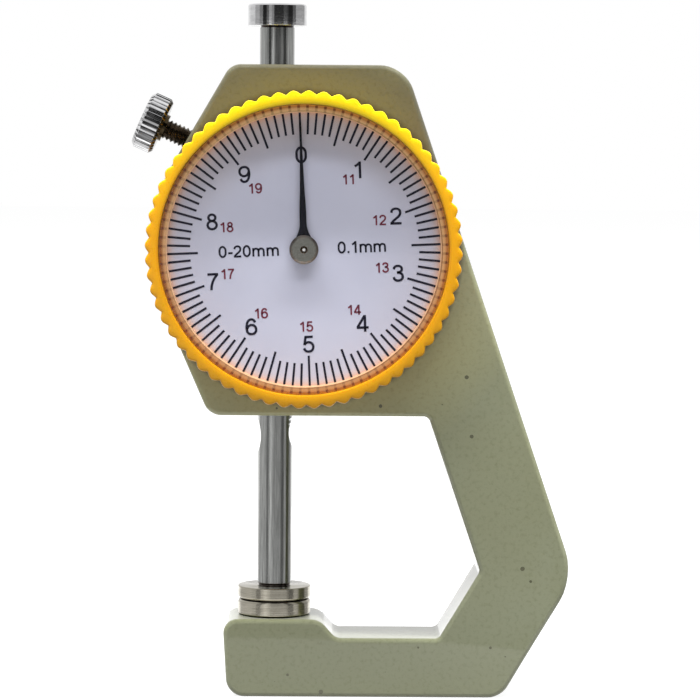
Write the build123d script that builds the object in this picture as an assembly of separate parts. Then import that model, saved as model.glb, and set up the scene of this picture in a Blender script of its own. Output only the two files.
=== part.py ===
"""Dial thickness gauge, 0 to 20 mm by 0.1 mm.

A cast C-frame carries an anvil disc below and a sliding spindle above it. A rack on the spindle
turns a pinion whose shaft carries the pointer, 10 mm of lift to the turn. The dial, its window and
the waved bezel turn together on a round boss of the head, and a knurled screw locks the spindle.

Millimetres. +Z is up, the dial faces -Y and +X is to the right of someone who reads it. The origin
is where the measuring axis meets the plane that the gauge stands on, midway through the frame.
Distances called forward are measured from the frame's mid-plane towards the reader.
"""

import math
import os

from build123d import *

# Clearances and small edges
run_gap = 0.03            # radial, shaft in bearing or bush
slide_gap = 0.1           # radial, loose running fits such as the bezel on its boss
thread_gap = 0.05         # radial, screw in its tapped hole
edge_break = 0.2          # small chamfer of turned parts
cut_over = 1.0            # how far a cutting shape runs past the face it opens

# Frame: outline seen from the front
frame_height = 86.4
frame_edge_round = 1.1
head_height = 47.75       # from the throat's top to the frame's
throat_floor = 8.15       # height of the lower arm behind the anvil
pad_height = 10.7         # height of the raised seat of the anvil
arm_end = -6.35           # the lower arm's free end, at the base
arm_end_draft = 3.7       # degrees from upright
base_right = 31.2
lower_slope = 30.9        # degrees from upright: the back arm below its knee
upper_slope = 18.83       # degrees from upright: the back arm above its knee
head_top_left = -6.2
head_top_right = 17.4
arm_width_upper = 12.05
arm_width_lower = 11.55
pad_right = 6.25          # where the seat's top starts to fall to the throat floor
pad_fall = 41.5           # degrees from upright
chamfer_upper_left = 30.1  # degrees from upright
chamfer_lower_left = 23.7  # degrees from upright
head_bottom_left = -8.95
head_left = -15.4

# Frame: corner radii, in the order of the outline
radius_base_left = 2.5
radius_pad_left = 2.0
radius_pad_right = 2.4
radius_floor_left = 1.6
radius_floor_right = 0.9
radius_inner_knee = 1.0
radius_throat_top = 0.9
radius_head_bottom = 2.4
radius_head_left = 4.0
radius_top_left = 2.2
radius_top_right = 4.7
radius_outer_knee = 8.0
radius_base_right = 3.0

# Measuring spindle and its discs
travel = 20.0
spindle_radius = 2.37
spindle_stand = 5.15      # how far the spindle stands out of the head, at rest
disc_radius = 5.02
anvil_thickness = 2.15
anvil_stem_radius = 1.5
anvil_stem_length = 5.0
anvil_bevel = 0.3
contact_thickness = 1.9
contact_bevel = 0.4
collar_radius = 2.18
collar_height = 0.2
contact_stem_radius = 1.0
contact_stem_length = 4.0
knob_radius = 4.0
knob_height = 2.95
knob_gap = 0.2            # dark line between the spindle's top and the knob
spigot_radius = 2.05
bush_wall = 0.85
spigot_length = 2.2

# Rack and pinion: one turn of the pinion is travel_per_turn
travel_per_turn = 10.0
pinion_teeth = 16
pressure_angle = 20.0
pinion_shift = 0.5        # profile shift, in modules
mesh_backlash = 0.05
pinion_width = 2.6
rack_depth = 0.47         # depth of the tooth spaces, from the spindle's surface
rack_spaces_below = 40    # tooth spaces below the pinion's centre, at rest
rack_spaces_above = 8
rack_runout_radius = 4.1
notch_radius = 6.5        # shallow scallop opposite the rack's lower end
notch_depth = 0.42
notch_drop = 3.2          # below the head's underside

# Movement
dial_drop = 24.9          # the dial's centre below the head's top
pocket_radius = 15.5
back_wall = 2.8           # behind the pocket
plate_thickness = 1.0
plate_overlap = 0.6       # how far the plate reaches past the pocket
shaft_radius = 0.8
pivot_radius = 0.5
pivot_bush_radius = 1.5
pivot_bush_flange = 2.2
pivot_bush_flange_thickness = 0.4
rear_bush_length = 1.8
shaft_end_play = 0.1
plate_screw_count = 3
plate_screw_inset = 2.1   # from the pocket's wall
plate_screw_start = 60.0
plate_screw_radius = 1.0
plate_screw_length = 5.0
plate_screw_head_radius = 1.8
plate_screw_head_height = 1.1
plate_screw_slot = 0.45
plate_lug_radius = 2.3

# Spring, its post and the cross pin
pin_radius = 0.5
pin_front_gap = 0.4       # cross pin to the plate
pin_back_gap = 0.3        # cross pin to the groove's floor
groove_cut = 1.5          # depth of the groove in the pocket's back wall
post_rise = 1.42          # above the pocket's lowest point on the measuring axis
post_tail = 2.2           # how far the post reaches behind the plate
spring_length = 7.1       # from the post to the cross pin, at rest
spring_wire = 0.3
spring_radius = 1.2       # outside
spring_spindle_gap = 0.16
spring_plate_gap = 0.07
spring_coils = 14
spring_window = 3.4       # width of the plate's slot in front of the spring
spring_hook_gap = 0.05

# Bezel, window and dial
boss_wall = 1.8           # round the plate
boss_stand = 2.3          # in front of the head
bezel_gap = 0.3           # bezel to the head's front
bezel_width = 6.3
bezel_wall = 1.3          # between the window and the waves' roots
bezel_waves = 64
wave_height = 0.5
wave_crest_width = 0.8     # the round part of each crest
wave_crest_rise = 0.14
bezel_front_chamfer = 0.45
bezel_wave_offset = 1.68  # degrees
dial_seat_gap = 0.3       # boss to the web that carries the dial
dial_seat_thickness = 0.6
dial_seat_width = 2.7
window_margin = 1.5       # window's radius over the boss's
window_sink = 0.2         # behind the bezel's front
window_thickness = 1.0
window_skirt = 1.1        # thickness of the window's skirt
window_bevel = 0.25
dial_thickness = 0.5
dial_bore = 1.6
zero_angle = 2.5          # degrees to the left: where the dial's zero stands at rest
ring_wire_radius = 0.25   # half the side of the square wire
ring_rise = 1.3           # in front of the head
ring_groove_gap = 0.15
ring_opening = 24.0       # degrees

# Pointer
pointer_angle = 2.0       # degrees to the left, at rest
pointer_tip_gap = 1.25    # to the window's skirt
pointer_tip_width = 0.22
pointer_neck_radius = 4.2
pointer_neck_width = 0.93
pointer_mid_radius = 7.8
pointer_mid_width = 0.63
pointer_root_width = 2.1
pointer_root_radius = 1.56
pointer_gap = 0.4         # dial to pointer
pointer_thickness = 0.25
hub_radius = 1.95
hub_body_radius = 0.95
hub_thickness = 0.5
hub_bevel = 0.35
shaft_tip = 0.15          # how far the shaft stands out of the hub

# Lock
lock_slope = 24.0         # degrees below level, towards the spindle
lock_entry_drop = 10.2    # where the stud enters the slope, below the head's top
lock_stand = 5.42         # from the slope to the knob's middle
lock_knob_radius = 4.02
lock_knob_thickness = 3.1
lock_knob_bevel = 0.6
lock_knob_inner_bevel = 0.45
lock_knob_ribs = 34
lock_rib_depth = 0.3
lock_collar_radius = 1.9
lock_collar_length = 0.4
lock_stud_radius = 1.45
pad_radius = 1.25
pad_length = 2.6          # cylindrical part of the pressure pad
lock_free_gap = 0.5       # way of the pad to the spindle, at rest
lock_land_width = 6.4
lock_land_reach = 7.98    # from the slope to the end of the land in the pocket

# Derived sizes
head_underside = frame_height - head_height
module = travel_per_turn / pinion_teeth / math.pi
rack_pitch = travel_per_turn / pinion_teeth
pinion_pitch_radius = travel_per_turn / (2 * math.pi)
dedendum = 1.25 * module
rack_root = spindle_radius - rack_depth
rack_pitch_line = rack_root + dedendum
dial_x = rack_pitch_line + pinion_pitch_radius + pinion_shift * module
anvil_top = pad_height + anvil_thickness
contact_top = anvil_top + contact_thickness
spindle_bottom = contact_top + collar_height
spindle_top = frame_height + spindle_stand
dial_height = frame_height - dial_drop
bush_radius = spindle_radius + bush_wall

# Derived sizes: the stack from the mid-plane forward, and the pocket's back
spring_forward = spindle_radius + spring_spindle_gap + spring_radius
plate_back = spring_forward + spring_radius + spring_plate_gap
half_thickness = plate_back + plate_thickness
boss_front = half_thickness + boss_stand
bezel_back = half_thickness + bezel_gap
bezel_front = bezel_back + bezel_width
ring_forward = half_thickness + ring_rise
dial_seat_back = boss_front + dial_seat_gap
dial_seat_front = dial_seat_back + dial_seat_thickness
dial_face = dial_seat_front + dial_thickness
pointer_back = dial_face + pointer_gap
window_front = bezel_front - window_sink
pocket_back = half_thickness - back_wall
groove_depth = pocket_back + groove_cut
shaft_front_shoulder = plate_back - shaft_end_play
shaft_rear_shoulder = pocket_back - shaft_end_play

# Derived sizes: radii from the pocket outwards
plate_radius = pocket_radius + plate_overlap
plate_screw_circle = pocket_radius - plate_screw_inset
boss_radius = plate_radius + slide_gap + boss_wall
window_radius = boss_radius + window_margin
dial_seat_bore = window_radius - dial_seat_width
bezel_root_radius = window_radius + bezel_wall
bezel_tip_radius = bezel_root_radius + wave_height
pointer_length = window_radius - window_skirt - pointer_tip_gap

# Derived sizes: spring, post and cross pin on the measuring axis
pocket_reach = math.sqrt(pocket_radius**2 - dial_x**2)
post_height = dial_height - pocket_reach + post_rise
pin_height = post_height + spring_length

# Derived sizes: the lock
lock_direction = Vector(math.cos(math.radians(lock_slope)), 0, -math.sin(math.radians(lock_slope)))
lock_entry_x = head_top_left - lock_entry_drop * math.tan(math.radians(chamfer_upper_left))
lock_knob_x = lock_entry_x - lock_stand * lock_direction.X
lock_knob_z = frame_height - lock_entry_drop - lock_stand * lock_direction.Z
lock_land_length = lock_stand + lock_land_reach
lock_axis_length = -lock_knob_x / lock_direction.X
pad_end_x = -(spindle_radius + pad_radius)
pad_centre = (pad_end_x - lock_knob_x) / lock_direction.X - lock_free_gap

# Places: local Z points at the reader, or from the lock knob towards the spindle
dial_place = Plane(origin=(dial_x, 0, dial_height), x_dir=(1, 0, 0), z_dir=(0, -1, 0))
front_place = Plane(origin=(0, 0, 0), x_dir=(1, 0, 0), z_dir=(0, -1, 0))
lock_place = Plane(origin=(lock_knob_x, 0, lock_knob_z), x_dir=(0, 1, 0), z_dir=lock_direction)

os.makedirs("parts", exist_ok=True)


def save(solid, name):
    """Write one piece to its own file."""
    export_step(solid, f"parts/{name}.step")


def turned(points, place=Plane.XY):
    """A turned piece from (radius, height) points about the place's Z axis."""
    outline = Polyline(*[(radius, 0, height) for radius, height in points], close=True)
    return place * revolve(make_face(outline), Axis.Z, 360)


def rod(radius, start, end, place=Plane.XY):
    """A plain cylinder along the place's Z axis, from start to end."""
    return place * Location((0, 0, start)) * Cylinder(
        radius, end - start, align=(Align.CENTER, Align.CENTER, Align.MIN))


def shifted(x, z, place=front_place):
    """The same place with its origin moved across it."""
    return place * Location((x, z, 0))


def along(start, slope, height):
    """The x of a line that leaves start and leans by slope degrees from upright, height higher."""
    return start + height * math.tan(math.radians(slope))


def screw_places(height):
    """The places of the movement plate's screws, with local Z towards the reader."""
    places = []
    for number in range(plate_screw_count):
        angle = plate_screw_start + number * 360 / plate_screw_count
        places.append(dial_place * Rot(0, 0, angle) * Location((plate_screw_circle, 0, height)))
    return places


def frame_outline():
    """The sharp corners of the casting's outline with their radii, counter-clockwise from the base."""
    sin_low, cos_low = math.sin(math.radians(lower_slope)), math.cos(math.radians(lower_slope))
    tan_low, tan_up = math.tan(math.radians(lower_slope)), math.tan(math.radians(upper_slope))
    cos_up = math.cos(math.radians(upper_slope))
    knee_height = (head_top_right + tan_up * frame_height - base_right) / (tan_low + tan_up)
    inner_low = base_right - arm_width_lower / cos_low
    inner_up = head_top_right + tan_up * frame_height - arm_width_upper / cos_up
    inner_knee_height = (inner_up - inner_low) / (tan_low + tan_up)
    fall_run = (pad_height - throat_floor) * math.tan(math.radians(pad_fall))
    left_low = head_underside + (head_bottom_left - head_left) / math.tan(math.radians(chamfer_lower_left))
    left_high = frame_height - (head_top_left - head_left) / math.tan(math.radians(chamfer_upper_left))
    return [
        ((base_right, 0), radius_base_right),
        ((base_right + knee_height * tan_low, knee_height), radius_outer_knee),
        ((head_top_right, frame_height), radius_top_right),
        ((head_top_left, frame_height), radius_top_left),
        ((head_left, left_high), radius_head_left),
        ((head_left, left_low), radius_head_left),
        ((head_bottom_left, head_underside), radius_head_bottom),
        ((inner_up - head_underside * tan_up, head_underside), radius_throat_top),
        ((inner_low + inner_knee_height * tan_low, inner_knee_height), radius_inner_knee),
        ((inner_low + throat_floor * tan_low, throat_floor), radius_floor_right),
        ((pad_right + fall_run, throat_floor), radius_floor_left),
        ((pad_right, pad_height), radius_pad_right),
        ((along(arm_end, -arm_end_draft, pad_height), pad_height), radius_pad_left),
        ((arm_end, 0), radius_base_left),
    ]


def make_frame():
    """The casting with its pocket, boss, bores, guide groove and lugs."""
    corners = frame_outline()
    wire = FilletPolyline(*[point for point, _ in corners], radius=[r for _, r in corners], close=True)
    body = extrude(make_face(front_place * wire), half_thickness, both=True)
    flat_faces = body.faces().sort_by(Axis.Y)
    body = fillet(flat_faces[0].edges() + flat_faces[-1].edges(), frame_edge_round)

    body += rod(boss_radius, 0, boss_front, dial_place)
    pocket = rod(pocket_radius, -pocket_back, plate_back, dial_place)
    for lug in screw_places(0):
        pocket -= lug * Cylinder(plate_lug_radius, 2 * half_thickness)
    land = Box(2 * half_thickness, lock_land_width, lock_land_length,
               align=(Align.CENTER, Align.CENTER, Align.MIN))
    pocket -= lock_place * land
    body -= pocket
    body -= rod(plate_radius + slide_gap, plate_back, boss_front, dial_place)

    groove_low = pin_height - pin_radius - edge_break
    groove_high = pin_height + travel + pin_radius + edge_break
    groove = Box(2 * (pin_radius + run_gap), groove_depth, groove_high - groove_low,
                 align=(Align.CENTER, Align.MIN, Align.MIN))
    body -= Location((0, 0, groove_low)) * groove
    ring_groove = turned([
        (boss_radius - ring_wire_radius, ring_forward - ring_wire_radius),
        (boss_radius + slide_gap, ring_forward - ring_wire_radius),
        (boss_radius + slide_gap, ring_forward + ring_wire_radius),
        (boss_radius - ring_wire_radius, ring_forward + ring_wire_radius)], dial_place)
    body -= ring_groove

    body -= rod(bush_radius, head_underside - edge_break, frame_height + cut_over)
    body -= rod(anvil_stem_radius, pad_height - anvil_stem_length, pad_height + cut_over)
    body -= rod(pivot_bush_radius, -pocket_back - rear_bush_length, -pocket_back, dial_place)
    body -= rod(lock_stud_radius + thread_gap, 0, lock_axis_length, lock_place)
    for hole in screw_places(plate_back - plate_screw_length):
        body -= hole * Cylinder(plate_screw_radius, plate_screw_length + cut_over,
                                align=(Align.CENTER, Align.CENTER, Align.MIN))
    return body


def make_bushes():
    """The spindle's two guide bushes, just inside the head's top and underside."""
    reach = math.sqrt(pocket_radius**2 - max(0, dial_x - bush_radius)**2) + edge_break
    upper = rod(bush_radius, dial_height + reach, frame_height - edge_break)
    lower = rod(bush_radius, head_underside + edge_break, dial_height - reach)
    bore = rod(spindle_radius + run_gap, 0, frame_height)
    return upper - bore, lower - bore


def make_anvil():
    """The lower disc, turned with its stem."""
    return turned([
        (0, pad_height - anvil_stem_length),
        (anvil_stem_radius, pad_height - anvil_stem_length),
        (anvil_stem_radius, pad_height),
        (disc_radius - edge_break, pad_height),
        (disc_radius, pad_height + edge_break),
        (disc_radius, anvil_top - anvil_bevel),
        (disc_radius - anvil_bevel, anvil_top),
        (0, anvil_top)])


def make_contact_disc():
    """The upper disc with its collar and the stem that goes up into the spindle."""
    return turned([
        (0, anvil_top),
        (disc_radius - contact_bevel, anvil_top),
        (disc_radius, anvil_top + contact_bevel),
        (disc_radius, contact_top - edge_break),
        (disc_radius - edge_break, contact_top),
        (collar_radius, contact_top),
        (collar_radius, spindle_bottom),
        (contact_stem_radius, spindle_bottom),
        (contact_stem_radius, spindle_bottom + contact_stem_length),
        (0, spindle_bottom + contact_stem_length)])


def make_spindle():
    """The rod with its rack, the cutter's run-out, the scallop opposite and the spigot of the knob."""
    body = turned([
        (contact_stem_radius, spindle_bottom),
        (spindle_radius - edge_break, spindle_bottom),
        (spindle_radius, spindle_bottom + edge_break),
        (spindle_radius, spindle_top - edge_break),
        (spindle_radius - edge_break, spindle_top),
        (spigot_radius, spindle_top),
        (spigot_radius, spindle_top + knob_gap + spigot_length),
        (0, spindle_top + knob_gap + spigot_length),
        (0, spindle_bottom + contact_stem_length),
        (contact_stem_radius, spindle_bottom + contact_stem_length)])

    half_root = rack_pitch / 4 - dedendum * math.tan(math.radians(pressure_angle))
    reach = 2 * dedendum
    half_mouth = half_root + reach * math.tan(math.radians(pressure_angle))
    space = Polyline((rack_root, -half_root), (rack_root + reach, -half_mouth),
                     (rack_root + reach, half_mouth), (rack_root, half_root), close=True)
    cutter = extrude(make_face(front_place * space), spindle_radius, both=True)
    for number in range(-rack_spaces_below, rack_spaces_above + 1):
        body -= Location((0, 0, dial_height + number * rack_pitch)) * cutter

    rack_low = dial_height - rack_spaces_below * rack_pitch
    runout = Location((rack_root + rack_runout_radius, 0, rack_low - rack_pitch)) * Rot(90, 0, 0)
    body -= runout * Cylinder(rack_runout_radius, 2 * half_thickness)
    notch_centre = -(spindle_radius - notch_depth + notch_radius)
    notch = Location((notch_centre, 0, head_underside - notch_drop)) * Rot(90, 0, 0)
    body -= notch * Cylinder(notch_radius, 2 * half_thickness)
    body -= rod(pin_radius, -spindle_radius, spindle_radius, shifted(0, pin_height))
    return body


def make_lift_knob():
    """The round knob, with a blind hole for the spindle's spigot."""
    low = spindle_top + knob_gap
    high = low + knob_height
    return turned([
        (spigot_radius, low),
        (knob_radius - edge_break, low),
        (knob_radius, low + edge_break),
        (knob_radius, high - edge_break),
        (knob_radius - edge_break, high),
        (0, high),
        (0, low + spigot_length),
        (spigot_radius, low + spigot_length)])


def make_cross_pin():
    """The pin through the spindle: its rear end runs in the groove, its front end holds the spring."""
    rear = pin_back_gap - groove_depth
    return rod(pin_radius, rear, plate_back - pin_front_gap, shifted(0, pin_height))


def make_return_spring():
    """A close-wound coil with a flat eye at each end, drawn as a ridged sleeve."""
    eye_bore = pin_radius + spring_hook_gap
    low = post_height + eye_bore
    high = pin_height - eye_bore
    coil_pitch = (high - low) / spring_coils
    inside = spring_radius - spring_wire
    points = [(inside, low)]
    for number in range(spring_coils):
        start = low + number * coil_pitch
        points.append((inside + spring_wire / 2, start))
        points.append((spring_radius, start + coil_pitch / 2))
    points.append((inside + spring_wire / 2, high))
    points.append((inside, high))
    body = Location((0, -spring_forward, 0)) * turned(points)
    back, front = spring_forward - spring_wire / 2, spring_forward + spring_wire / 2
    for eye_height, end in ((post_height, low), (pin_height, high)):
        body += rod(eye_bore + spring_wire, back, front, shifted(0, eye_height))
        bar = Box(2 * inside + spring_wire, spring_wire, spring_wire)
        body += Location((0, -spring_forward, end)) * bar
        body -= rod(eye_bore, back, front, shifted(0, eye_height))
    return body


def make_spring_post():
    """The pin of the movement plate that holds the spring's lower hook."""
    return rod(pin_radius, plate_back - post_tail, half_thickness, shifted(0, post_height))


def make_movement_plate():
    """The round plate over the pocket."""
    plate = rod(plate_radius, plate_back, half_thickness, dial_place)
    plate -= rod(pivot_bush_radius, plate_back, half_thickness, dial_place)
    plate -= rod(pin_radius, plate_back, half_thickness, shifted(0, post_height))
    window_low = post_height + 2 * pin_radius + spring_radius
    window_high = pin_height + travel
    window = SlotOverall(window_high - window_low, spring_window, rotation=90)
    window_place = shifted(0, (window_low + window_high) / 2) * Location((0, 0, plate_back))
    plate -= window_place * extrude(window, plate_thickness)
    for hole in screw_places(plate_back):
        plate -= hole * Cylinder(plate_screw_radius + slide_gap, plate_thickness,
                                 align=(Align.CENTER, Align.CENTER, Align.MIN))
    return plate


def make_plate_screws():
    """Slotted cheese-head screws, one group."""
    seat = half_thickness
    top = seat + plate_screw_head_height
    screw = turned([
        (0, plate_back - plate_screw_length + edge_break),
        (plate_screw_radius, plate_back - plate_screw_length + edge_break),
        (plate_screw_radius, seat),
        (plate_screw_head_radius, seat),
        (plate_screw_head_radius, top - edge_break),
        (plate_screw_head_radius - edge_break, top),
        (0, top)])
    slot = Location((0, 0, top)) * Box(2 * plate_screw_head_radius, plate_screw_slot, 2 * plate_screw_slot)
    screw -= slot
    return Compound(children=[place * screw for place in screw_places(0)])


def make_pivot_bushes():
    """The front bearing with its flange in front of the plate, and the plain rear one."""
    flange_front = half_thickness + pivot_bush_flange_thickness
    front = turned([
        (pivot_radius + run_gap, plate_back),
        (pivot_bush_radius, plate_back),
        (pivot_bush_radius, half_thickness),
        (pivot_bush_flange, half_thickness),
        (pivot_bush_flange, flange_front),
        (pivot_radius + run_gap, flange_front)], dial_place)
    rear = rod(pivot_bush_radius, -pocket_back - rear_bush_length, -pocket_back, dial_place)
    rear -= rod(pivot_radius + run_gap, -pocket_back - rear_bush_length, -pocket_back, dial_place)
    return front, rear


def make_bezel_ring():
    """The open ring of square wire in the boss's groove."""
    low, high = ring_forward - ring_wire_radius, ring_forward + ring_wire_radius
    inner, outer = boss_radius - ring_wire_radius, boss_radius + ring_wire_radius
    outline = Polyline((inner, 0, low), (outer, 0, low), (outer, 0, high), (inner, 0, high), close=True)
    ring = revolve(make_face(outline), Axis.Z, 360 - ring_opening)
    return dial_place * Rot(0, 0, 270 + ring_opening / 2) * ring


def flank_half_angle(radius, thickness):
    """Half the angle that a tooth fills at a radius, for an involute of the pressure angle."""
    base_radius = pinion_pitch_radius * math.cos(math.radians(pressure_angle))
    roll = math.acos(min(1.0, base_radius / radius))
    involute = math.tan(roll) - roll
    start = math.tan(math.radians(pressure_angle)) - math.radians(pressure_angle)
    return thickness / (2 * pinion_pitch_radius) + start - involute


def make_pinion():
    """Sixteen involute teeth; one of them points at the rack at rest."""
    shift = pinion_shift * module
    thickness = rack_pitch / 2 + 2 * shift * math.tan(math.radians(pressure_angle)) - mesh_backlash
    root_radius = pinion_pitch_radius + shift - dedendum
    tip_radius = pinion_pitch_radius + shift + module
    base_radius = pinion_pitch_radius * math.cos(math.radians(pressure_angle))
    middle_radius = (base_radius + tip_radius) / 2

    def at(radius, side):
        angle = math.pi + side * flank_half_angle(max(radius, base_radius), thickness)
        return (radius * math.cos(angle), radius * math.sin(angle))

    sunk = root_radius - edge_break
    edges = [
        Line(at(sunk, -1), at(base_radius, -1)),
        ThreePointArc(at(base_radius, -1), at(middle_radius, -1), at(tip_radius, -1)),
        Line(at(tip_radius, -1), at(tip_radius, 1)),
        ThreePointArc(at(tip_radius, 1), at(middle_radius, 1), at(base_radius, 1)),
        Line(at(base_radius, 1), at(sunk, 1)),
        Line(at(sunk, 1), at(sunk, -1))]
    tooth = make_face(edges)
    gear = Sketch() + Circle(root_radius)
    for number in range(pinion_teeth):
        gear += Rot(0, 0, number * 360 / pinion_teeth) * tooth
    gear -= Circle(shaft_radius)
    return dial_place * extrude(gear, pinion_width / 2, both=True)


def make_pinion_shaft():
    """The shaft with a pivot at each end; the front pivot reaches through the dial to the pointer."""
    tip = pointer_back + pointer_thickness + hub_thickness + shaft_tip
    return turned([
        (0, -pocket_back - rear_bush_length + edge_break),
        (pivot_radius, -pocket_back - rear_bush_length + edge_break),
        (pivot_radius, -shaft_rear_shoulder),
        (shaft_radius, -shaft_rear_shoulder),
        (shaft_radius, shaft_front_shoulder),
        (pivot_radius, shaft_front_shoulder),
        (pivot_radius, tip - edge_break / 2),
        (pivot_radius - edge_break / 2, tip),
        (0, tip)], dial_place)


def make_pointer_hand():
    """The black pointer: a long taper that flares into a disc under the hub."""
    half_root = pointer_root_width / 2
    side = Spline(
        (half_root, pointer_root_radius),
        (pointer_neck_width / 2, pointer_neck_radius),
        (pointer_mid_width / 2, pointer_mid_radius),
        (pointer_tip_width / 2, pointer_length))
    tip = Line((pointer_tip_width / 2, pointer_length), (-pointer_tip_width / 2, pointer_length))
    foot = Line((-half_root, pointer_root_radius), (half_root, pointer_root_radius))
    blade = make_face([side, tip, mirror(side, Plane.YZ), foot])
    outline = Circle(hub_radius - edge_break) + blade - Circle(hub_body_radius)
    hand = extrude(outline, pointer_thickness)
    return dial_place * Location((0, 0, pointer_back)) * Rot(0, 0, pointer_angle) * hand


def make_pointer_hub():
    """The turned hub: a flange over the pointer and a neck through it."""
    seat = pointer_back + pointer_thickness
    return turned([
        (pivot_radius, pointer_back - edge_break),
        (hub_body_radius, pointer_back - edge_break),
        (hub_body_radius, seat),
        (hub_radius, seat),
        (hub_radius, seat + hub_thickness - hub_bevel),
        (hub_radius - hub_bevel, seat + hub_thickness),
        (pivot_radius, seat + hub_thickness)], dial_place)


def make_bezel_rim():
    """The waved ring: bored to run on the boss, with a seat for the dial and a recess for the window."""
    step = 360 / bezel_waves
    shoulder_radius = bezel_tip_radius - wave_crest_rise
    shoulder = math.degrees(wave_crest_width / 2 / shoulder_radius)

    def at(radius, angle):
        return (radius * math.cos(math.radians(angle)), radius * math.sin(math.radians(angle)))

    edges = []
    for number in range(bezel_waves):
        crest = bezel_wave_offset + number * step
        start, end = at(shoulder_radius, crest - shoulder), at(shoulder_radius, crest + shoulder)
        edges.append(Line(at(bezel_root_radius, crest - step / 2), start))
        edges.append(ThreePointArc(start, at(bezel_tip_radius, crest), end))
        edges.append(Line(end, at(bezel_root_radius, crest + step / 2)))
    waves = extrude(make_face(edges), bezel_front - bezel_back)
    rim = Location((0, 0, bezel_back)) * waves
    rim &= turned([
        (0, bezel_back),
        (bezel_tip_radius, bezel_back),
        (bezel_tip_radius, bezel_front - 2 * bezel_front_chamfer),
        (bezel_tip_radius - bezel_front_chamfer, bezel_front),
        (0, bezel_front)])
    rim -= rod(boss_radius + slide_gap, bezel_back, dial_seat_back)
    rim -= rod(dial_seat_bore, dial_seat_back, dial_seat_front)
    rim -= rod(window_radius, dial_seat_front, bezel_front)
    rim -= turned([
        (boss_radius, ring_forward - ring_wire_radius - ring_groove_gap),
        (boss_radius + ring_wire_radius + ring_groove_gap, ring_forward - ring_wire_radius - ring_groove_gap),
        (boss_radius + ring_wire_radius + ring_groove_gap, ring_forward + ring_wire_radius + ring_groove_gap),
        (boss_radius, ring_forward + ring_wire_radius + ring_groove_gap)])
    return dial_place * Rot(0, 0, zero_angle) * rim


def make_crystal():
    """The clear window: a flat front and a skirt that clamps the dial."""
    inner = window_radius - window_skirt
    return turned([
        (0, window_front - window_thickness),
        (inner, window_front - window_thickness),
        (inner, dial_face),
        (window_radius, dial_face),
        (window_radius, window_front - window_bevel),
        (window_radius - window_bevel, window_front),
        (0, window_front)], dial_place)


def make_dial_plate():
    """The dial, a thin disc with a hole for the shaft."""
    return rod(window_radius - slide_gap, dial_seat_front, dial_face, dial_place) - rod(
        dial_bore, dial_seat_front, dial_face, dial_place)


def make_pressure_pad():
    """The brass pad in front of the lock screw, with a round nose."""
    body = rod(pad_radius, pad_centre - pad_length, pad_centre, lock_place)
    return body + lock_place * Location((0, 0, pad_centre)) * Sphere(pad_radius)


def make_lock_stud():
    """The threaded stud, from the knob's middle to the pressure pad."""
    end = pad_centre - pad_length
    return turned([
        (0, 0),
        (lock_stud_radius, 0),
        (lock_stud_radius, end - edge_break),
        (lock_stud_radius - edge_break, end),
        (0, end)], lock_place)


def make_lock_knob():
    """The knob with straight ribs all round, a bevelled outer edge and a short collar."""
    outer = -lock_knob_thickness / 2
    inner = lock_knob_thickness / 2
    body = turned([
        (0, outer),
        (lock_knob_radius - lock_knob_bevel, outer),
        (lock_knob_radius, outer + lock_knob_bevel),
        (lock_knob_radius, inner - lock_knob_inner_bevel),
        (lock_knob_radius - lock_knob_inner_bevel, inner),
        (lock_collar_radius, inner),
        (lock_collar_radius, inner + lock_collar_length),
        (lock_stud_radius, inner + lock_collar_length),
        (lock_stud_radius, 0),
        (0, 0)])
    half_mouth = math.pi * lock_knob_radius / lock_knob_ribs * 0.8
    mouth = lock_knob_radius + edge_break
    groove = extrude(make_face(Polyline(
        (lock_knob_radius - lock_rib_depth, 0), (mouth, -half_mouth), (mouth, half_mouth), close=True)),
        lock_knob_thickness / 2, both=True)
    for number in range(lock_knob_ribs):
        body -= Rot(0, 0, number * 360 / lock_knob_ribs) * groove
    return lock_place * body


upper_bush, lower_bush = make_bushes()
front_pivot_bush, rear_pivot_bush = make_pivot_bushes()
save(make_frame(), "frame")
save(upper_bush, "upper_bush")
save(lower_bush, "lower_bush")
save(make_anvil(), "anvil")
save(make_movement_plate(), "movement_plate")
save(make_plate_screws(), "plate_screws")
save(front_pivot_bush, "front_pivot_bush")
save(rear_pivot_bush, "rear_pivot_bush")
save(make_bezel_ring(), "bezel_ring")
save(make_spring_post(), "spring_post")
save(make_spindle(), "measuring_spindle")
save(make_contact_disc(), "contact_disc")
save(make_lift_knob(), "lift_knob")
save(make_cross_pin(), "cross_pin")
save(make_return_spring(), "return_spring")
save(make_pinion(), "pinion")
save(make_pinion_shaft(), "pinion_shaft")
save(make_pointer_hand(), "pointer_hand")
save(make_pointer_hub(), "pointer_hub")
save(make_bezel_rim(), "bezel_rim")
save(make_crystal(), "crystal")
save(make_dial_plate(), "dial_plate")
save(make_pressure_pad(), "pressure_pad")
save(make_lock_stud(), "lock_stud")
save(make_lock_knob(), "lock_knob")
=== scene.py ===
# %% [markdown]
# # A dial thickness gauge
# The real thing is a painted casting shaped like a C. A steel spindle slides in its head, a rack on the
# spindle turns the pointer, and a yellow ring with fine waves turns the dial to its zero.
# The moving parts are fixed before this script starts. This lesson gives them their looks, and models
# the pieces whose shape the eye rests on once more, finer than a machine drawing needs.

# %% Load the frame
import math

import bmesh
import bpy
from mathutils import Matrix, Vector


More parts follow.
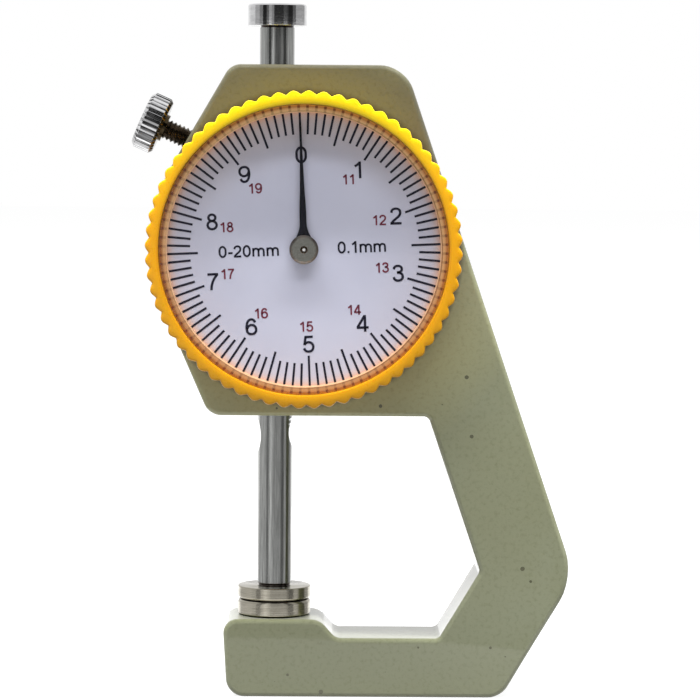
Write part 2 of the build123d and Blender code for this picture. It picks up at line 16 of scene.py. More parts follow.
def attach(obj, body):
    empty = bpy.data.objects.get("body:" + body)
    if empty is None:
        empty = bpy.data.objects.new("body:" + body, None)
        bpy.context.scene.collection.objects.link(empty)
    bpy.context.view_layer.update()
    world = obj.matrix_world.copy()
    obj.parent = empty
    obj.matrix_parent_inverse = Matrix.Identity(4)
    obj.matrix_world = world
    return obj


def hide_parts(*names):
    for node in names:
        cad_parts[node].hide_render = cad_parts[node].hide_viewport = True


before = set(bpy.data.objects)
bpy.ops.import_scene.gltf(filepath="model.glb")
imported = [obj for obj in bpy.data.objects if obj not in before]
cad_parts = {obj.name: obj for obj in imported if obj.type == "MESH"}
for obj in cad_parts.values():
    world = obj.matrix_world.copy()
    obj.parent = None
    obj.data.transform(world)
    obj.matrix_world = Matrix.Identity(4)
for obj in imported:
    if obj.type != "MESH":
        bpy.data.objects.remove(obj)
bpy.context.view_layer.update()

# %% [markdown]
# ## The camera
# The photograph was taken nearly square to the dial, from a little above, with a long lens, so the
# sides of the casting hardly show. The camera stands where the lines of the photograph meet: 440 mm
# away, turned by less than a degree and tipped down by less than four.

# %% Camera
MM = 0.001
VIEW_CENTRE = Vector((10.26, 0.0, 47.34)) * MM
VIEW_DISTANCE = 440.0 * MM
VIEW_YAW, VIEW_PITCH, VIEW_ROLL = math.radians(0.7), math.radians(3.82), math.radians(0.42)
LENS = 164.06


def set_camera():
    """A long lens that looks at the middle of the gauge."""
    look = Vector((math.sin(VIEW_YAW) * math.cos(VIEW_PITCH), math.cos(VIEW_YAW) * math.cos(VIEW_PITCH),
                   -math.sin(VIEW_PITCH)))
    level = look.cross(Vector((0, 0, 1))).normalized()
    upright = level.cross(look)
    right = level * math.cos(VIEW_ROLL) + upright * math.sin(VIEW_ROLL)
    up = upright * math.cos(VIEW_ROLL) - level * math.sin(VIEW_ROLL)
    bpy.ops.object.camera_add()
    camera = bpy.context.object
    turn = Matrix((right, up, -look)).transposed().to_4x4()
    camera.matrix_world = Matrix.Translation(VIEW_CENTRE - look * VIEW_DISTANCE) @ turn
    camera.data.lens = LENS
    camera.data.clip_start = 0.01
    bpy.context.scene.camera = camera
    print("camera at", [round(value, 4) for value in camera.location])


set_camera()

# %% [markdown]
# ## Working by hand, in code
# Every new piece is modelled in millimetres with the same tools as at the screen. Three habits keep it
# safe: nothing is selected before a piece is started, faces and edges are picked by where they are, and
# a finished piece is scaled to metres and has its place applied into its mesh.

# %% Picking and placing
FRONT = (math.pi / 2, 0.0, 0.0)    # turns a piece modelled along +Z to face the reader


def deselect():
    """Leave edit mode, with nothing selected."""
    if bpy.context.mode != "OBJECT":
        bpy.ops.object.mode_set(mode="OBJECT")
    bpy.ops.object.select_all(action="DESELECT")


def take(*pieces):
    """Select these pieces and nothing else, with the first of them active."""
    deselect()
    for piece in pieces:
        piece.select_set(True)
    bpy.context.view_layer.objects.active = pieces[0]


def open_mesh(piece):
    """Go into edit mode on one piece, with none of it selected."""
    take(piece)
    bpy.ops.object.mode_set(mode="EDIT")
    bpy.ops.mesh.select_all(action="DESELECT")


def pick(piece, kind, test):
    """In edit mode, select the vertices, edges or faces that pass a test."""
    bpy.ops.mesh.select_mode(type=kind)
    bpy.ops.mesh.select_all(action="DESELECT")
    mesh = bmesh.from_edit_mesh(piece.data)
    kinds = {"VERT": mesh.verts, "EDGE": mesh.edges, "FACE": mesh.faces}
    found = [item for item in kinds[kind] if test(item)]
    for item in found:
        item.select_set(True)
    mesh.select_flush_mode()
    bmesh.update_edit_mesh(piece.data)
    return len(found)


def pick_all():
    """In edit mode, select the whole mesh."""
    bpy.ops.mesh.select_all(action="SELECT")


def extrude(x, y, z):
    """In edit mode, pull out what is selected, with new faces behind it."""
    bpy.ops.mesh.extrude_region_move(TRANSFORM_OT_translate={"value": (x, y, z)})


def face_outwards():
    """Turn all faces outwards, and leave edit mode."""
    pick_all()
    bpy.ops.mesh.normals_make_consistent(inside=False)
    deselect()


print("a piece turned by", FRONT, "faces the reader")

# %% [markdown]
# ### Modifiers, cuts and joins
# A bevel, a cut or a row of copies is a modifier that is applied at once, so that the next step works on
# plain mesh. A tool that has cut is thrown away.

# %% Modifiers, cuts and joins


def apply_modifier(piece, kind, **settings):
    """Add a modifier, set it and apply it."""
    take(piece)
    modifier = piece.modifiers.new(kind.title(), kind)
    for name, value in settings.items():
        setattr(modifier, name, value)
    bpy.ops.object.modifier_apply(modifier=modifier.name)


def soften(piece, width, segments=3, angle=40.0):
    """Round the sharp edges, as a file or a mould would."""
    apply_modifier(piece, "BEVEL", width=width, segments=segments, limit_method="ANGLE",
                   angle_limit=math.radians(angle), harden_normals=False)


def carve(piece, tool, operation="DIFFERENCE"):
    """Cut a piece with a tool, or add the tool to it, and throw the tool away."""
    apply_modifier(piece, "BOOLEAN", object=tool, operation=operation, solver="EXACT")
    bpy.data.objects.remove(tool, do_unlink=True)


def join(pieces, name):
    """Make one piece of several."""
    take(*pieces)
    bpy.ops.object.join()
    pieces[0].name = name
    pieces[0].data.name = name
    return pieces[0]


def tidy_mesh(piece, merge=0.0005):
    """Merge doubled points, then turn all faces outwards."""
    open_mesh(piece)
    pick_all()
    bpy.ops.mesh.remove_doubles(threshold=merge)
    face_outwards()


def spin(piece, angle):
    """Turn a piece about the Z axis, in its mesh too."""
    take(piece)
    piece.rotation_euler = (0, 0, angle)
    bpy.ops.object.transform_apply(location=False, rotation=True, scale=False)


def duplicate(original):
    """A copy with a mesh of its own."""
    copy = original.copy()
    copy.data = original.data.copy()
    bpy.context.collection.objects.link(copy)
    return copy


# %% [markdown]
# ### Finishing a piece
# Every piece ends the same way: it is turned and carried to its place, made metres, given smooth shading
# with crisp edges, and joined to the body it moves with, while the drawn parts it stands for are hidden.

# %% Finishing a piece


def settle(piece, body, finish, nodes=(), place=(0, 0, 0), turned=(0, 0, 0), smooth=35.0):
    """Finish a piece: place and metres go into its mesh, flat faces stay flat, and it joins its body."""
    take(piece)
    piece.location = Vector(place) * MM
    piece.rotation_euler = turned
    piece.scale = (MM, MM, MM)
    bpy.ops.object.transform_apply(location=True, rotation=True, scale=True)
    bpy.ops.object.shade_smooth_by_angle(angle=math.radians(smooth))
    apply_modifier(piece, "WEIGHTED_NORMAL", keep_sharp=True)
    piece.data.materials.clear()
    piece.data.materials.append(finish)
    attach(piece, body)
    if nodes:
        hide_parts(*nodes)
    print(piece.name, "has", len(piece.data.polygons), "faces")


# %% [markdown]
# ### A lathe
# Most pieces of a gauge are turned. On a lathe the shape is one profile, and here it is too: a disc is
# pulled up through the steps of the profile, or for a piece with a hole, a bare edge is.

# %% Lathe


def add_disc(name, radius, height=0.0, sides=128, filled=True):
    """A round face, or only its edge, across the Z axis."""
    deselect()
    bpy.ops.mesh.primitive_circle_add(vertices=sides, radius=radius, location=(0, 0, 0),
                                      fill_type="NGON" if filled else "NOTHING")
    piece = bpy.context.object
    piece.name = name
    piece.data.name = name
    open_mesh(piece)
    pick_all()
    bpy.ops.transform.translate(value=(0, 0, height))
    return piece


def pull(rise, ratio=1.0, height=0.0, region=True):
    """Extrude what is selected along Z, and scale it about the axis."""
    if region:
        extrude(0, 0, rise)
    else:
        bpy.ops.mesh.extrude_edges_move(TRANSFORM_OT_translate={"value": (0, 0, rise)})
    if ratio != 1.0:
        bpy.ops.transform.resize(value=(ratio, ratio, 1), center_override=(0, 0, height))


def turn(name, steps, sides=128):
    """A solid piece turned on a lathe: a disc is pulled up through (radius, height) steps."""
    radius, height = steps[0]
    piece = add_disc(name, radius, height, sides)
    for next_radius, next_height in steps[1:]:
        pull(next_height - height, next_radius / radius, next_height)
        radius, height = next_radius, next_height
    deselect()
    tidy_mesh(piece)
    return piece


def turn_ring(name, steps, sides=128):
    """A turned piece with a hole: an edge is pulled through the steps and back to the first."""
    radius, height = steps[0]
    piece = add_disc(name, radius, height, sides, filled=False)
    for next_radius, next_height in steps[1:] + steps[:1]:
        pull(next_height - height, next_radius / radius, next_height, region=False)
        radius, height = next_radius, next_height
    deselect()
    tidy_mesh(piece)
    return piece


# %% [markdown]
# ## The sizes that the pieces share
# They are the drawing's own sizes, in millimetres. Distances called forward are measured from the
# casting's mid-plane towards the reader.

# %% Shared sizes
HALF_THICKNESS = 6.0
DIAL_X, DIAL_HEIGHT = 3.8397, 61.5
DIAL_PLACE = (DIAL_X, 0, DIAL_HEIGHT)
ZERO_ANGLE = math.radians(2.5)
BOSS_RADIUS, BOSS_FRONT = 18.0, 8.3
BEZEL_BACK, BEZEL_FRONT = 6.3, 12.6
DIAL_FACE = 9.7
WINDOW_RADIUS, WINDOW_SKIRT = 19.5, 1.1
SPINDLE_RADIUS, SPINDLE_LOW, SPINDLE_TOP = 2.37, 14.95, 91.55
HEAD_UNDERSIDE, HEAD_TOP = 38.65, 86.4
PAD_HEIGHT, ANVIL_TOP, CONTACT_TOP = 10.7, 12.85, 14.75
DISC_RADIUS, STEM_RADIUS, STEM_LOW = 5.02, 1.5, 5.7
LOCK_PLACE = (-17.0641, 0, 78.4045)
LOCK_SLOPE = math.radians(24.0)    # the lock screw points to the right and down
LOCK_TURNED = (0, math.pi / 2 + LOCK_SLOPE, 0)
LOCK_AXIS = (math.cos(LOCK_SLOPE), 0, -math.sin(LOCK_SLOPE))
KNOB_RADIUS, RIB_DEPTH, KNOB_HALF = 4.02, 0.34, 1.55
print("dial's centre at", DIAL_PLACE, "lock screw at", LOCK_PLACE)

# %% [markdown]
# ## Colours and finishes
# Colours are written as they look on a screen, from 0 to 255, and changed to the linear values that
# light works with. Each finish reads its pattern from the object's own coordinates, which a Mapping
# node turns into millimetres, so a speck of 0.3 mm is written as a speck of 0.3 mm.

# %% Material helpers


def screen(red, green, blue):
    """A screen colour from 0 to 255 as a linear colour."""
    linear = []
    for value in (red, green, blue):
        share = value / 255
        linear.append(share / 12.92 if share <= 0.04045 else ((share + 0.055) / 1.055) ** 2.4)
    return (*linear, 1.0)


class Finish:
    """A material with short ways to add and join its nodes."""

    def __init__(self, name):
        self.material = bpy.data.materials.new(name)
        self.material.use_nodes = True
        self.nodes = self.material.node_tree.nodes
        self.links = self.material.node_tree.links
        self.shader = self.nodes["Principled BSDF"]
        self.output = self.nodes["Material Output"]

    def set(self, **values):
        """Write values on the shader's own sockets, or join outputs to them."""
        for name, value in values.items():
            self.plug(value, self.shader.inputs[name.replace("_", " ")])

    def plug(self, value, socket):
        """Join an output to a socket, or write a plain value there."""
        if isinstance(value, bpy.types.NodeSocket):
            self.links.new(value, socket)
        else:
            socket.default_value = value

    def add(self, kind, sockets=None, **settings):
        """A new node, with its settings and its sockets."""
        node = self.nodes.new("ShaderNode" + kind)
        for name, value in settings.items():
            setattr(node, name, value)
        for key, value in (sockets or {}).items():
            self.plug(value, node.inputs[key])
        return node

    def place(self, centre=(0, 0, 0), scale=(1, 1, 1)):
        """Object coordinates in millimetres, measured from a centre."""
        coordinates = self.add("TexCoord")
        stretch = [1000 * value for value in scale]
        shift = [-middle * value for middle, value in zip(centre, scale)]
        mapping = self.add("Mapping", {"Vector": coordinates.outputs["Object"],
                                       "Scale": stretch, "Location": shift})
        return mapping.outputs["Vector"]

    def noise(self, where, size, detail=3.0, rough=0.5):
        """Soft noise whose blotches are about that many millimetres wide."""
        return self.add("TexNoise", {"Vector": where, "Scale": 1 / size, "Detail": detail,
                                     "Roughness": rough}).outputs["Fac"]

    def ramp(self, factor, *stops):
        """A ramp through (position, colour) stops."""
        ramp = self.add("ValToRGB", {"Fac": factor})
        elements = ramp.color_ramp.elements
        while len(elements) < len(stops):
            elements.new(1.0)
        for element, (position, colour) in zip(elements, stops):
            element.position = position
            element.color = colour
        return ramp.outputs["Color"]

    def range(self, value, low, high, to_low=0.0, to_high=1.0):
        """Stretch a value from one range to another, clamped."""
        return self.add("MapRange", {"Value": value, "From Min": low, "From Max": high, "To Min": to_low,
                                     "To Max": to_high}).outputs["Result"]

    def blend(self, factor, first, second, way="MIX"):
        """Mix two colours."""
        node = self.add("Mix", data_type="RGBA", blend_type=way)
        for index, value in ((0, factor), (6, first), (7, second)):
            self.plug(value, node.inputs[index])
        return node.outputs[2]

    def math(self, operation, first, second=0.0):
        """A sum on two values."""
        return self.add("Math", {0: first, 1: second}, operation=operation).outputs[0]

    def vector(self, operation, first, second=(0, 0, 0)):
        """The outputs of a sum on two vectors."""
        return self.add("VectorMath", {0: first, 1: second}, operation=operation).outputs

    def times(self, first, second):
        """Two values multiplied."""
        return self.math("MULTIPLY", first, second)

    def apart(self, first, second):
        """How far one value is from another."""
        return self.math("ABSOLUTE", self.math("SUBTRACT", first, second))

    def height(self, where):
        """How high a place is."""
        return self.add("SeparateXYZ", {0: where}).outputs["Z"]

    def from_dial(self):
        """The distance in millimetres from the dial's axis."""
        return self.vector("LENGTH", self.place(DIAL_PLACE, (1, 0, 1)))["Value"]

    def bump(self, height, distance, strength=1.0):
        """A fine relief, in millimetres, on the shader's normal."""
        node = self.add("Bump", {"Height": height, "Distance": distance * MM, "Strength": strength})
        self.set(Normal=node.outputs["Normal"])


# %% [markdown]
# ## The studio
# The gauge was photographed on white. A pale floor and a white surrounding make that background, and
# they are white only for what the camera sees directly or in a mirror, so the gauge isn't flooded with
# light.

# %% World
SURROUND_LEVEL = 0.345


def seen_directly(finish):
    """1 for what the camera sees directly, in a mirror or through glass."""
    path = finish.add("LightPath").outputs
    direct = finish.math("MAXIMUM", path["Is Camera Ray"], path["Is Glossy Ray"])
    return finish.math("MAXIMUM", direct, path["Is Transmission Ray"])


class Sky(Finish):
    """The world's nodes, with the same helpers."""

    def __init__(self, world):
        self.nodes = world.node_tree.nodes
        self.links = world.node_tree.links


def make_world():
    """White to look at, grey as a source of light."""
    world = bpy.data.worlds.new("studio")
    bpy.context.scene.world = world
    world.use_nodes = True
    sky = Sky(world)
    lit = sky.nodes["Background"]
    lit.inputs["Color"].default_value = (1, 1, 1, 1)
    lit.inputs["Strength"].default_value = SURROUND_LEVEL
    seen = sky.add("Background", {"Color": (1, 1, 1, 1), "Strength": 1.0})
    mix = sky.add("MixShader", {0: seen_directly(sky), 1: lit.outputs[0], 2: seen.outputs[0]})
    sky.links.new(mix.outputs[0], sky.nodes["World Output"].inputs["Surface"])


make_world()
bpy.context.scene.view_settings.view_transform = "Standard"
print("surroundings at", SURROUND_LEVEL)

# %% [markdown]
# ### The floor
# The camera sees the floor nearly white with the gauge's soft shadow on it. As a thing that throws
# light back it is a matt grey, or the casting would glow from below.

# %% Floor
FLOOR_COLOUR = screen(128, 128, 128)
FLOOR_SHADE, FLOOR_GLOW = (0.24, 0.24, 0.24, 1.0), 0.90
FLOOR_SIZE = 6.0


def make_floor():
    """A pale floor, which keeps the soft shadow of the gauge."""
    pale = Finish("pale_floor")
    pale.nodes.remove(pale.shader)
    matt = pale.add("BsdfDiffuse", {"Color": FLOOR_COLOUR})
    shade = pale.add("BsdfDiffuse", {"Color": FLOOR_SHADE})
    glow = pale.add("Emission", {"Color": (1, 1, 1, 1), "Strength": FLOOR_GLOW})
    both = pale.add("AddShader", {0: shade.outputs[0], 1: glow.outputs[0]})
    mix = pale.add("MixShader", {0: seen_directly(pale), 1: matt.outputs[0], 2: both.outputs[0]})
    pale.links.new(mix.outputs[0], pale.output.inputs["Surface"])
    bpy.ops.mesh.primitive_plane_add(size=FLOOR_SIZE, location=(0, 0, 0))
    floor = bpy.context.object
    floor.name = "floor"
    floor.data.materials.append(pale.material)


make_floor()
print("floor:", FLOOR_SIZE, "metres wide")

# %% [markdown]
# ### Two lamps
# Two wide soft lamps hang high above: the shadow of the yellow ring on the dial has two steps, and
# their depths give the lamps' heights, 68 and 80 degrees above the horizon. Mirrors don't see them,
# because the photograph shows no hard highlights.

# %% Lamps
LAMP_AIM, LAMP_DISTANCE = Vector((0.005, 0, 0.05)), 0.85
LAMPS = {"front_lamp": (68.0, (0.75, 0.07), 4.3), "top_lamp": (80.4, (1.30, 0.03), 24.4)}


def make_lamp(name, elevation, size, power):
    """A large soft lamp in front of the gauge, from degrees above the horizon, that points at it."""
    up = math.radians(elevation)
    offset = Vector((0, -math.cos(up), math.sin(up)))
    bpy.ops.object.light_add(type="AREA", location=LAMP_AIM + offset * LAMP_DISTANCE)
    lamp = bpy.context.object
    lamp.name = name
    lamp.data.shape = "RECTANGLE"
    lamp.data.size, lamp.data.size_y = size
    lamp.data.energy = power
    lamp.rotation_euler = (-offset).to_track_quat("-Z", "Y").to_euler()
    lamp.visible_glossy = False


for name, (elevation, size, power) in LAMPS.items():
    make_lamp(name, elevation, size, power)
print("lamps:", list(LAMPS))

# %% [markdown]
# ## What the metal mirrors
# Turned metal shows its surroundings as upright bands: a point on a round bar that faces some degrees
# to the side mirrors what stands twice as far round. So the bands on the spindle and the discs tell
# where the photographer's grey cards and black strips stood. They are put up again as a ring of cards
# that only mirrors see, in three storeys: the front is grey below the lens and nearly black above it.
# The ring is only 60 mm away, so that the upright sides mirror its cards and not the floor.

# %% Cards round the gauge
CARD_DISTANCE = 0.06
CARD_HEIGHTS = (0.0, 0.073, 0.0937, 0.130)
# from and to, in degrees to the right of the reader, and the light of the low, middle and high card
CARDS = [(-132, -95, (0.78, 0.85, 0.85)), (-95, -72, (0.80, 0.80, 0.48)), (-72, -57, (0.70, 0.65, 0.24)),
         (-57, -41, (0.32, 0.08, 0.02)), (-41, -32, (0.78, 0.48, 0.14)), (-32, -21, (1.10, 1.10, 0.42)),
         (-21, -12, (0.82, 0.50, 0.28)), (-12, 24, (0.54, 0.21, 0.03)), (24, 38, (0.54, 0.54, 0.08)),
         (38, 43, (0.42, 0.26, 0.05)), (43, 62, (0.19, 0.10, 0.02)), (62, 76, (0.66, 0.54, 0.13)),
         (76, 132, (0.52, 0.72, 0.45))]


def make_card(name, start, end, low, high, level):
    """An upright card between two directions, in degrees to the right of the reader."""
    colour = Finish(name + "_grey")
    colour.nodes.remove(colour.shader)
    grey = colour.add("Emission", {"Color": (1, 1, 1, 1), "Strength": level})
    colour.links.new(grey.outputs[0], colour.output.inputs["Surface"])
    middle, half = math.radians((start + end) / 2), math.radians((end - start) / 2)
    reach = CARD_DISTANCE * math.cos(half)
    centre = (reach * math.sin(middle), -reach * math.cos(middle), (low + high) / 2)
    bpy.ops.mesh.primitive_plane_add(size=1.0, location=centre, rotation=(math.pi / 2, 0, middle))
    card = bpy.context.object
    card.name = name
    card.scale = (2 * CARD_DISTANCE * math.sin(half), high - low, 1)
    card.data.materials.append(colour.material)
    for ray in ("camera", "diffuse", "transmission", "volume_scatter", "shadow"):
        setattr(card, "visible_" + ray, False)


for number, (start, end, levels) in enumerate(CARDS):
    for storey, level in enumerate(levels):
        low, high = CARD_HEIGHTS[storey:storey + 2]
        make_card(f"card_{number}_{storey}", start, end, low, high, level)
print("cards:", 3 * len(CARDS))

# %% [markdown]
# ## The casting's enamel
# Grey-green enamel was sprayed on a rough casting. It is not one colour: its tone drifts a little from
# place to place, it shows a fine mottle where the coat is thin, and it has small dark pits that the casting
# had. Two noises of different size make the colour, a cell pattern makes the pits, and the same values
# drive the relief. Round the ring, light and shade are painted into the colour: it is lighter and browner
# below the ring, against the shadow that the ring casts there, and darker and browner above it, and a
# painted shadow lies in the corner between ring and casting. The top rim and the foot are painted darker as
# shade. Seen at a grazing angle the floor of the throat is nearly white, so a painted reflection pales the
# colour there.

# %% Enamel


def make_enamel():
    """Grey-green enamel with mottling and pits, with painted light and shade round the ring, on the top rim
    and at the foot, and a painted reflection at grazing angles.
    """
    enamel = Finish("grey_green_enamel")
    where = enamel.place()
    drift = enamel.noise(where, 22.0, 2.0)
    mottle = enamel.noise(where, 0.6, 4.0, 0.65)
    ground = enamel.ramp(drift, (0.38, screen(139, 142, 113)), (0.62, screen(144, 148, 122)))
    axes = enamel.add("SeparateXYZ", {0: where}).outputs
    height = axes["Z"]
    # painted light: lighter and browner below the ring, against the shadow that the ring casts there
    near = enamel.range(enamel.from_dial(), 22.0, 32.0, 1.0, 0.0)
    below = enamel.times(near, enamel.range(height, 62.0, 46.0, 0.0, 0.9))
    ground = enamel.blend(below, ground, screen(167, 164, 117))
    # painted shade: darker and browner above the ring
    wide = enamel.range(enamel.from_dial(), 25.0, 36.0, 1.0, 0.0)
    above = enamel.times(wide, enamel.range(height, 58.0, 76.0, 0.0, 1.0))
    ground = enamel.blend(above, ground, screen(100, 97, 79))
    # painted shade: darker towards the foot
    ground = enamel.blend(enamel.range(height, 14.0, 0.0, 0.0, 0.8), ground, screen(120, 123, 92))
    # painted shade: the top rim is darker
    rim = enamel.range(height, HEAD_TOP - 0.8, HEAD_TOP - 0.2, 0.0, 0.6)
    ground = enamel.blend(rim, ground, screen(70, 66, 50))
    thin = enamel.range(mottle, 0.28, 0.50, 1.0, 0.0)
    colour = enamel.blend(thin, ground, screen(234, 233, 224), "MULTIPLY")
    # painted shadow: a dark strip on the front face round the ring, in the corner between ring and casting
    in_front = enamel.range(axes["Y"], 0.5 - HALF_THICKNESS, 0.2 - HALF_THICKNESS, 0.0, 0.6)
    ring_contact_shadow = enamel.times(enamel.range(enamel.from_dial(), 21.3, 21.9, 1.0, 0.0), in_front)
    colour = enamel.blend(ring_contact_shadow, colour, screen(78, 70, 40))
    cells = enamel.add("TexVoronoi", {"Vector": where, "Scale": 0.42}).outputs["Distance"]
    scatter = enamel.noise(where, 5.0, 1.0)
    reach = enamel.range(scatter, 0.50, 0.72, 0.0, 0.17)
    pits = enamel.math("LESS_THAN", cells, reach)
    colour = enamel.blend(pits, colour, screen(92, 92, 70))
    # painted reflection: the low faces pale towards white at grazing angles
    facing = enamel.add("LayerWeight", {"Blend": 0.5}).outputs["Facing"]
    grazing = enamel.range(facing, 0.80, 0.94)
    pale = enamel.times(grazing, enamel.range(height, 30.0, 50.0, 0.88, 0.0))
    colour = enamel.blend(pale, colour, screen(244, 245, 238))
    enamel.set(Base_Color=colour, Roughness=enamel.range(mottle, 0.3, 0.7, 0.46, 0.36),
               Specular_IOR_Level=0.2, Coat_Weight=0.8, Coat_Roughness=0.05)
    peel = enamel.noise(where, 1.3, 3.0)
    relief = enamel.math("SUBTRACT", enamel.math("ADD", peel, enamel.times(mottle, 0.3)), pits)
    enamel.bump(relief, 0.04, 0.6)
    return enamel.material


ENAMEL = make_enamel()
print("made", ENAMEL.name)

# %% [markdown]
# ## Metals
# Ground steel, turned steel, chrome and brass differ in how finely they are scratched and which way the
# scratches run. On a turned piece they run round it, so the noise is stretched flat: it changes fast
# along the axis and slowly across it. Roughness and a very fine relief follow the same scratches.
# Light and shade are painted by the distance from a piece's own axis: painted shade in the grooves of the
# lock screw's knob, with a painted brown reflection on its side towards the casting, and in the hub a
# painted highlight on the shaft's end, within a painted dark recess and rim.

# %% Painted shade and highlights on metal


def mark_ribs(metal, colour):
    """Painted shade in the lock knob's grooves, and a painted brown reflection on its side towards the
    casting.
    """
    where = metal.place(LOCK_PLACE)
    along = metal.vector("DOT_PRODUCT", where, LOCK_AXIS)["Value"]
    reach = metal.vector("LENGTH", metal.vector("CROSS_PRODUCT", where, LOCK_AXIS)["Vector"])["Value"]
    # painted shade: the bottoms of the grooves are dark
    groove = metal.range(reach, KNOB_RADIUS - 0.06, KNOB_RADIUS - RIB_DEPTH, 0.0, 0.9)
    ribbed = metal.range(metal.math("ABSOLUTE", along), KNOB_HALF - 0.5, KNOB_HALF - 0.4, 1.0, 0.0)
    colour = metal.blend(metal.times(groove, ribbed), colour, screen(40, 38, 38))
    # painted reflection: the knob's side towards the casting is brown, with the ring's yellow in it
    collar = metal.range(along, KNOB_HALF - 0.5, KNOB_HALF - 0.35)
    metal.set(Base_Color=metal.blend(collar, colour, screen(66, 56, 40)))


def mark_hub(metal, colour):
    """A painted highlight on the shaft's end, in a recess and a rim darkened as painted shade."""
    reach = metal.from_dial()
    # painted shade: a darker rim
    colour = metal.blend(metal.range(reach, 1.55, 1.75, 0.0, 0.6), colour, screen(84, 82, 84))
    # painted shade: the recess round the shaft's end is dark
    colour = metal.blend(metal.range(reach, 0.46, 0.52, 1.0, 0.0), colour, screen(54, 50, 40))
    # painted highlight: the shaft's end nearly white and less metallic, so that it shows bright
    colour = metal.blend(metal.range(reach, 0.12, 0.28, 1.0, 0.0), colour, screen(232, 232, 228))
    metal.set(Base_Color=colour, Metallic=metal.range(reach, 0.10, 0.26, 0.2, 1.0))


print("the knob's grooves are", RIB_DEPTH, "mm deep")

# %% Metals


def make_metal(name, dark, light, roughness, stretch, grain=0.05, depth=0.004, shade_bands=(), mark=None):
    """Metal with scratches, so many grains long along X, Y and Z, and bands of painted shade between
    heights.
    """
    metal = Finish(name)
    where = metal.place(scale=[1 / length for length in stretch])
    scratch = metal.noise(where, grain, 4.0, 0.6)
    colour = metal.ramp(scratch, (0.3, dark), (0.7, light))
    # painted shade: dark bands at the gaps where a piece meets the next one
    for low, high in shade_bands:
        apart = metal.apart(metal.height(metal.place()), (low + high) / 2)
        colour = metal.blend(metal.math("LESS_THAN", apart, (high - low) / 2), colour, screen(52, 46, 42))
    metal.set(Base_Color=colour, Metallic=1.0,
              Roughness=metal.range(scratch, 0.3, 0.7, roughness * 1.25, roughness * 0.8))
    if mark:
        mark(metal, colour)
    metal.bump(scratch, depth)
    return metal.material


def grey(dark, light):
    """The two neutral greys that a metal's scratches run between."""
    return screen(dark, dark, dark), screen(light, light, light)


ROUND_Z = (20, 20, 2)    # scratches that run round an upright axis
# the discs' dark bands are painted shade at the gaps under, between and above them; the spindle's lie at
# its two ends
DISC_STEEL = make_metal("lapped_steel", screen(152, 147, 134), screen(188, 183, 169), 0.16, (60, 60, 1.5),
                        0.06, shade_bands=[(10.6, 10.92), (12.88, 13.08), (14.77, 15.0)])
SPINDLE_STEEL = make_metal("ground_steel", screen(136, 137, 135), screen(174, 175, 173), 0.16, (3, 3, 60),
                           0.08, shade_bands=[(14.9, 15.12), (91.5, 91.85)])
CHROME = make_metal("chrome", screen(196, 196, 197), screen(222, 222, 223), 0.08, (8, 8, 2), 0.25, 0.006)
RIB_CHROME = make_metal("ribbed_chrome", screen(206, 206, 207), screen(232, 232, 233), 0.08, (8, 8, 8),
                        0.25, mark=mark_ribs)
BRASS = make_metal("turned_brass", screen(196, 160, 84), screen(222, 188, 112), 0.25, (30, 30, 1))
INNER_STEEL = make_metal("bright_steel", *grey(150, 190), 0.25, ROUND_Z)
BLACK_OXIDE = make_metal("black_oxide", screen(60, 54, 48), screen(132, 120, 106), 0.25, (3, 3, 3), 0.2)
HUB_METAL = make_metal("dull_hub_metal", screen(128, 128, 120), screen(158, 158, 148), 0.34, (2, 2, 2),
                       0.12, mark=mark_hub)
SHAFT_STEEL = make_metal("shaft_steel", *grey(150, 190), 0.25, ROUND_Z, mark=mark_hub)
SPRING_STEEL = make_metal("spring_wire", screen(120, 120, 122), screen(170, 170, 172), 0.28, (6, 6, 6), 0.2)
METALS = [DISC_STEEL, SPINDLE_STEEL, CHROME, RIB_CHROME, BRASS, INNER_STEEL, BLACK_OXIDE, HUB_METAL,
          SHAFT_STEEL, SPRING_STEEL]
print("metals:", [metal.name for metal in METALS])

# %% [markdown]
# ## Moulded plastic, print and the dial
# The ring is yellow plastic, a little translucent; light is painted into its colour, lemon above and more
# orange below, with painted shade at its inner edge. The dial is matt paint on metal, bluish grey, with a
# very fine grain, and a painted tint of light thrown back from the ring and the skirt. The print is a thin
# layer of its own.

# %% Plastic and print


def make_yellow():
    """Moulded yellow plastic, with painted light: lemon above and more orange below, and painted shade at
    the inner edge.
    """
    yellow = Finish("yellow_plastic")
    where = yellow.place(DIAL_PLACE)
    cloud = yellow.range(yellow.noise(where, 6.0, 2.0), 0, 1, -0.1, 0.1)
    # painted light: the colour runs from orange below to lemon above, by height
    height_light = yellow.math("ADD", yellow.range(yellow.height(where), -20.0, 20.0), cloud)
    colour = yellow.ramp(height_light, (0.0, screen(204, 146, 10)), (0.3, screen(219, 156, 9)),
                         (0.5, screen(231, 163, 8)), (0.75, screen(248, 185, 12)),
                         (0.95, screen(255, 222, 20)))
    # painted shade: darker and more orange at the inner edge, beside the window
    shade = yellow.range(yellow.from_dial(), 19.45, 19.85, 0.55, 0.0)
    yellow.set(Base_Color=yellow.blend(shade, colour, screen(150, 84, 12)),
               Roughness=yellow.range(yellow.noise(where, 0.4, 3.0), 0.3, 0.7, 0.34, 0.26),
               Specular_IOR_Level=0.3,
               Subsurface_Weight=0.15, Subsurface_Radius=(1.2 * MM, 0.7 * MM, 0.2 * MM),
               Subsurface_Scale=1.0)
    yellow.bump(yellow.noise(where, 0.7, 2.0), 0.01, 0.5)
    return yellow.material


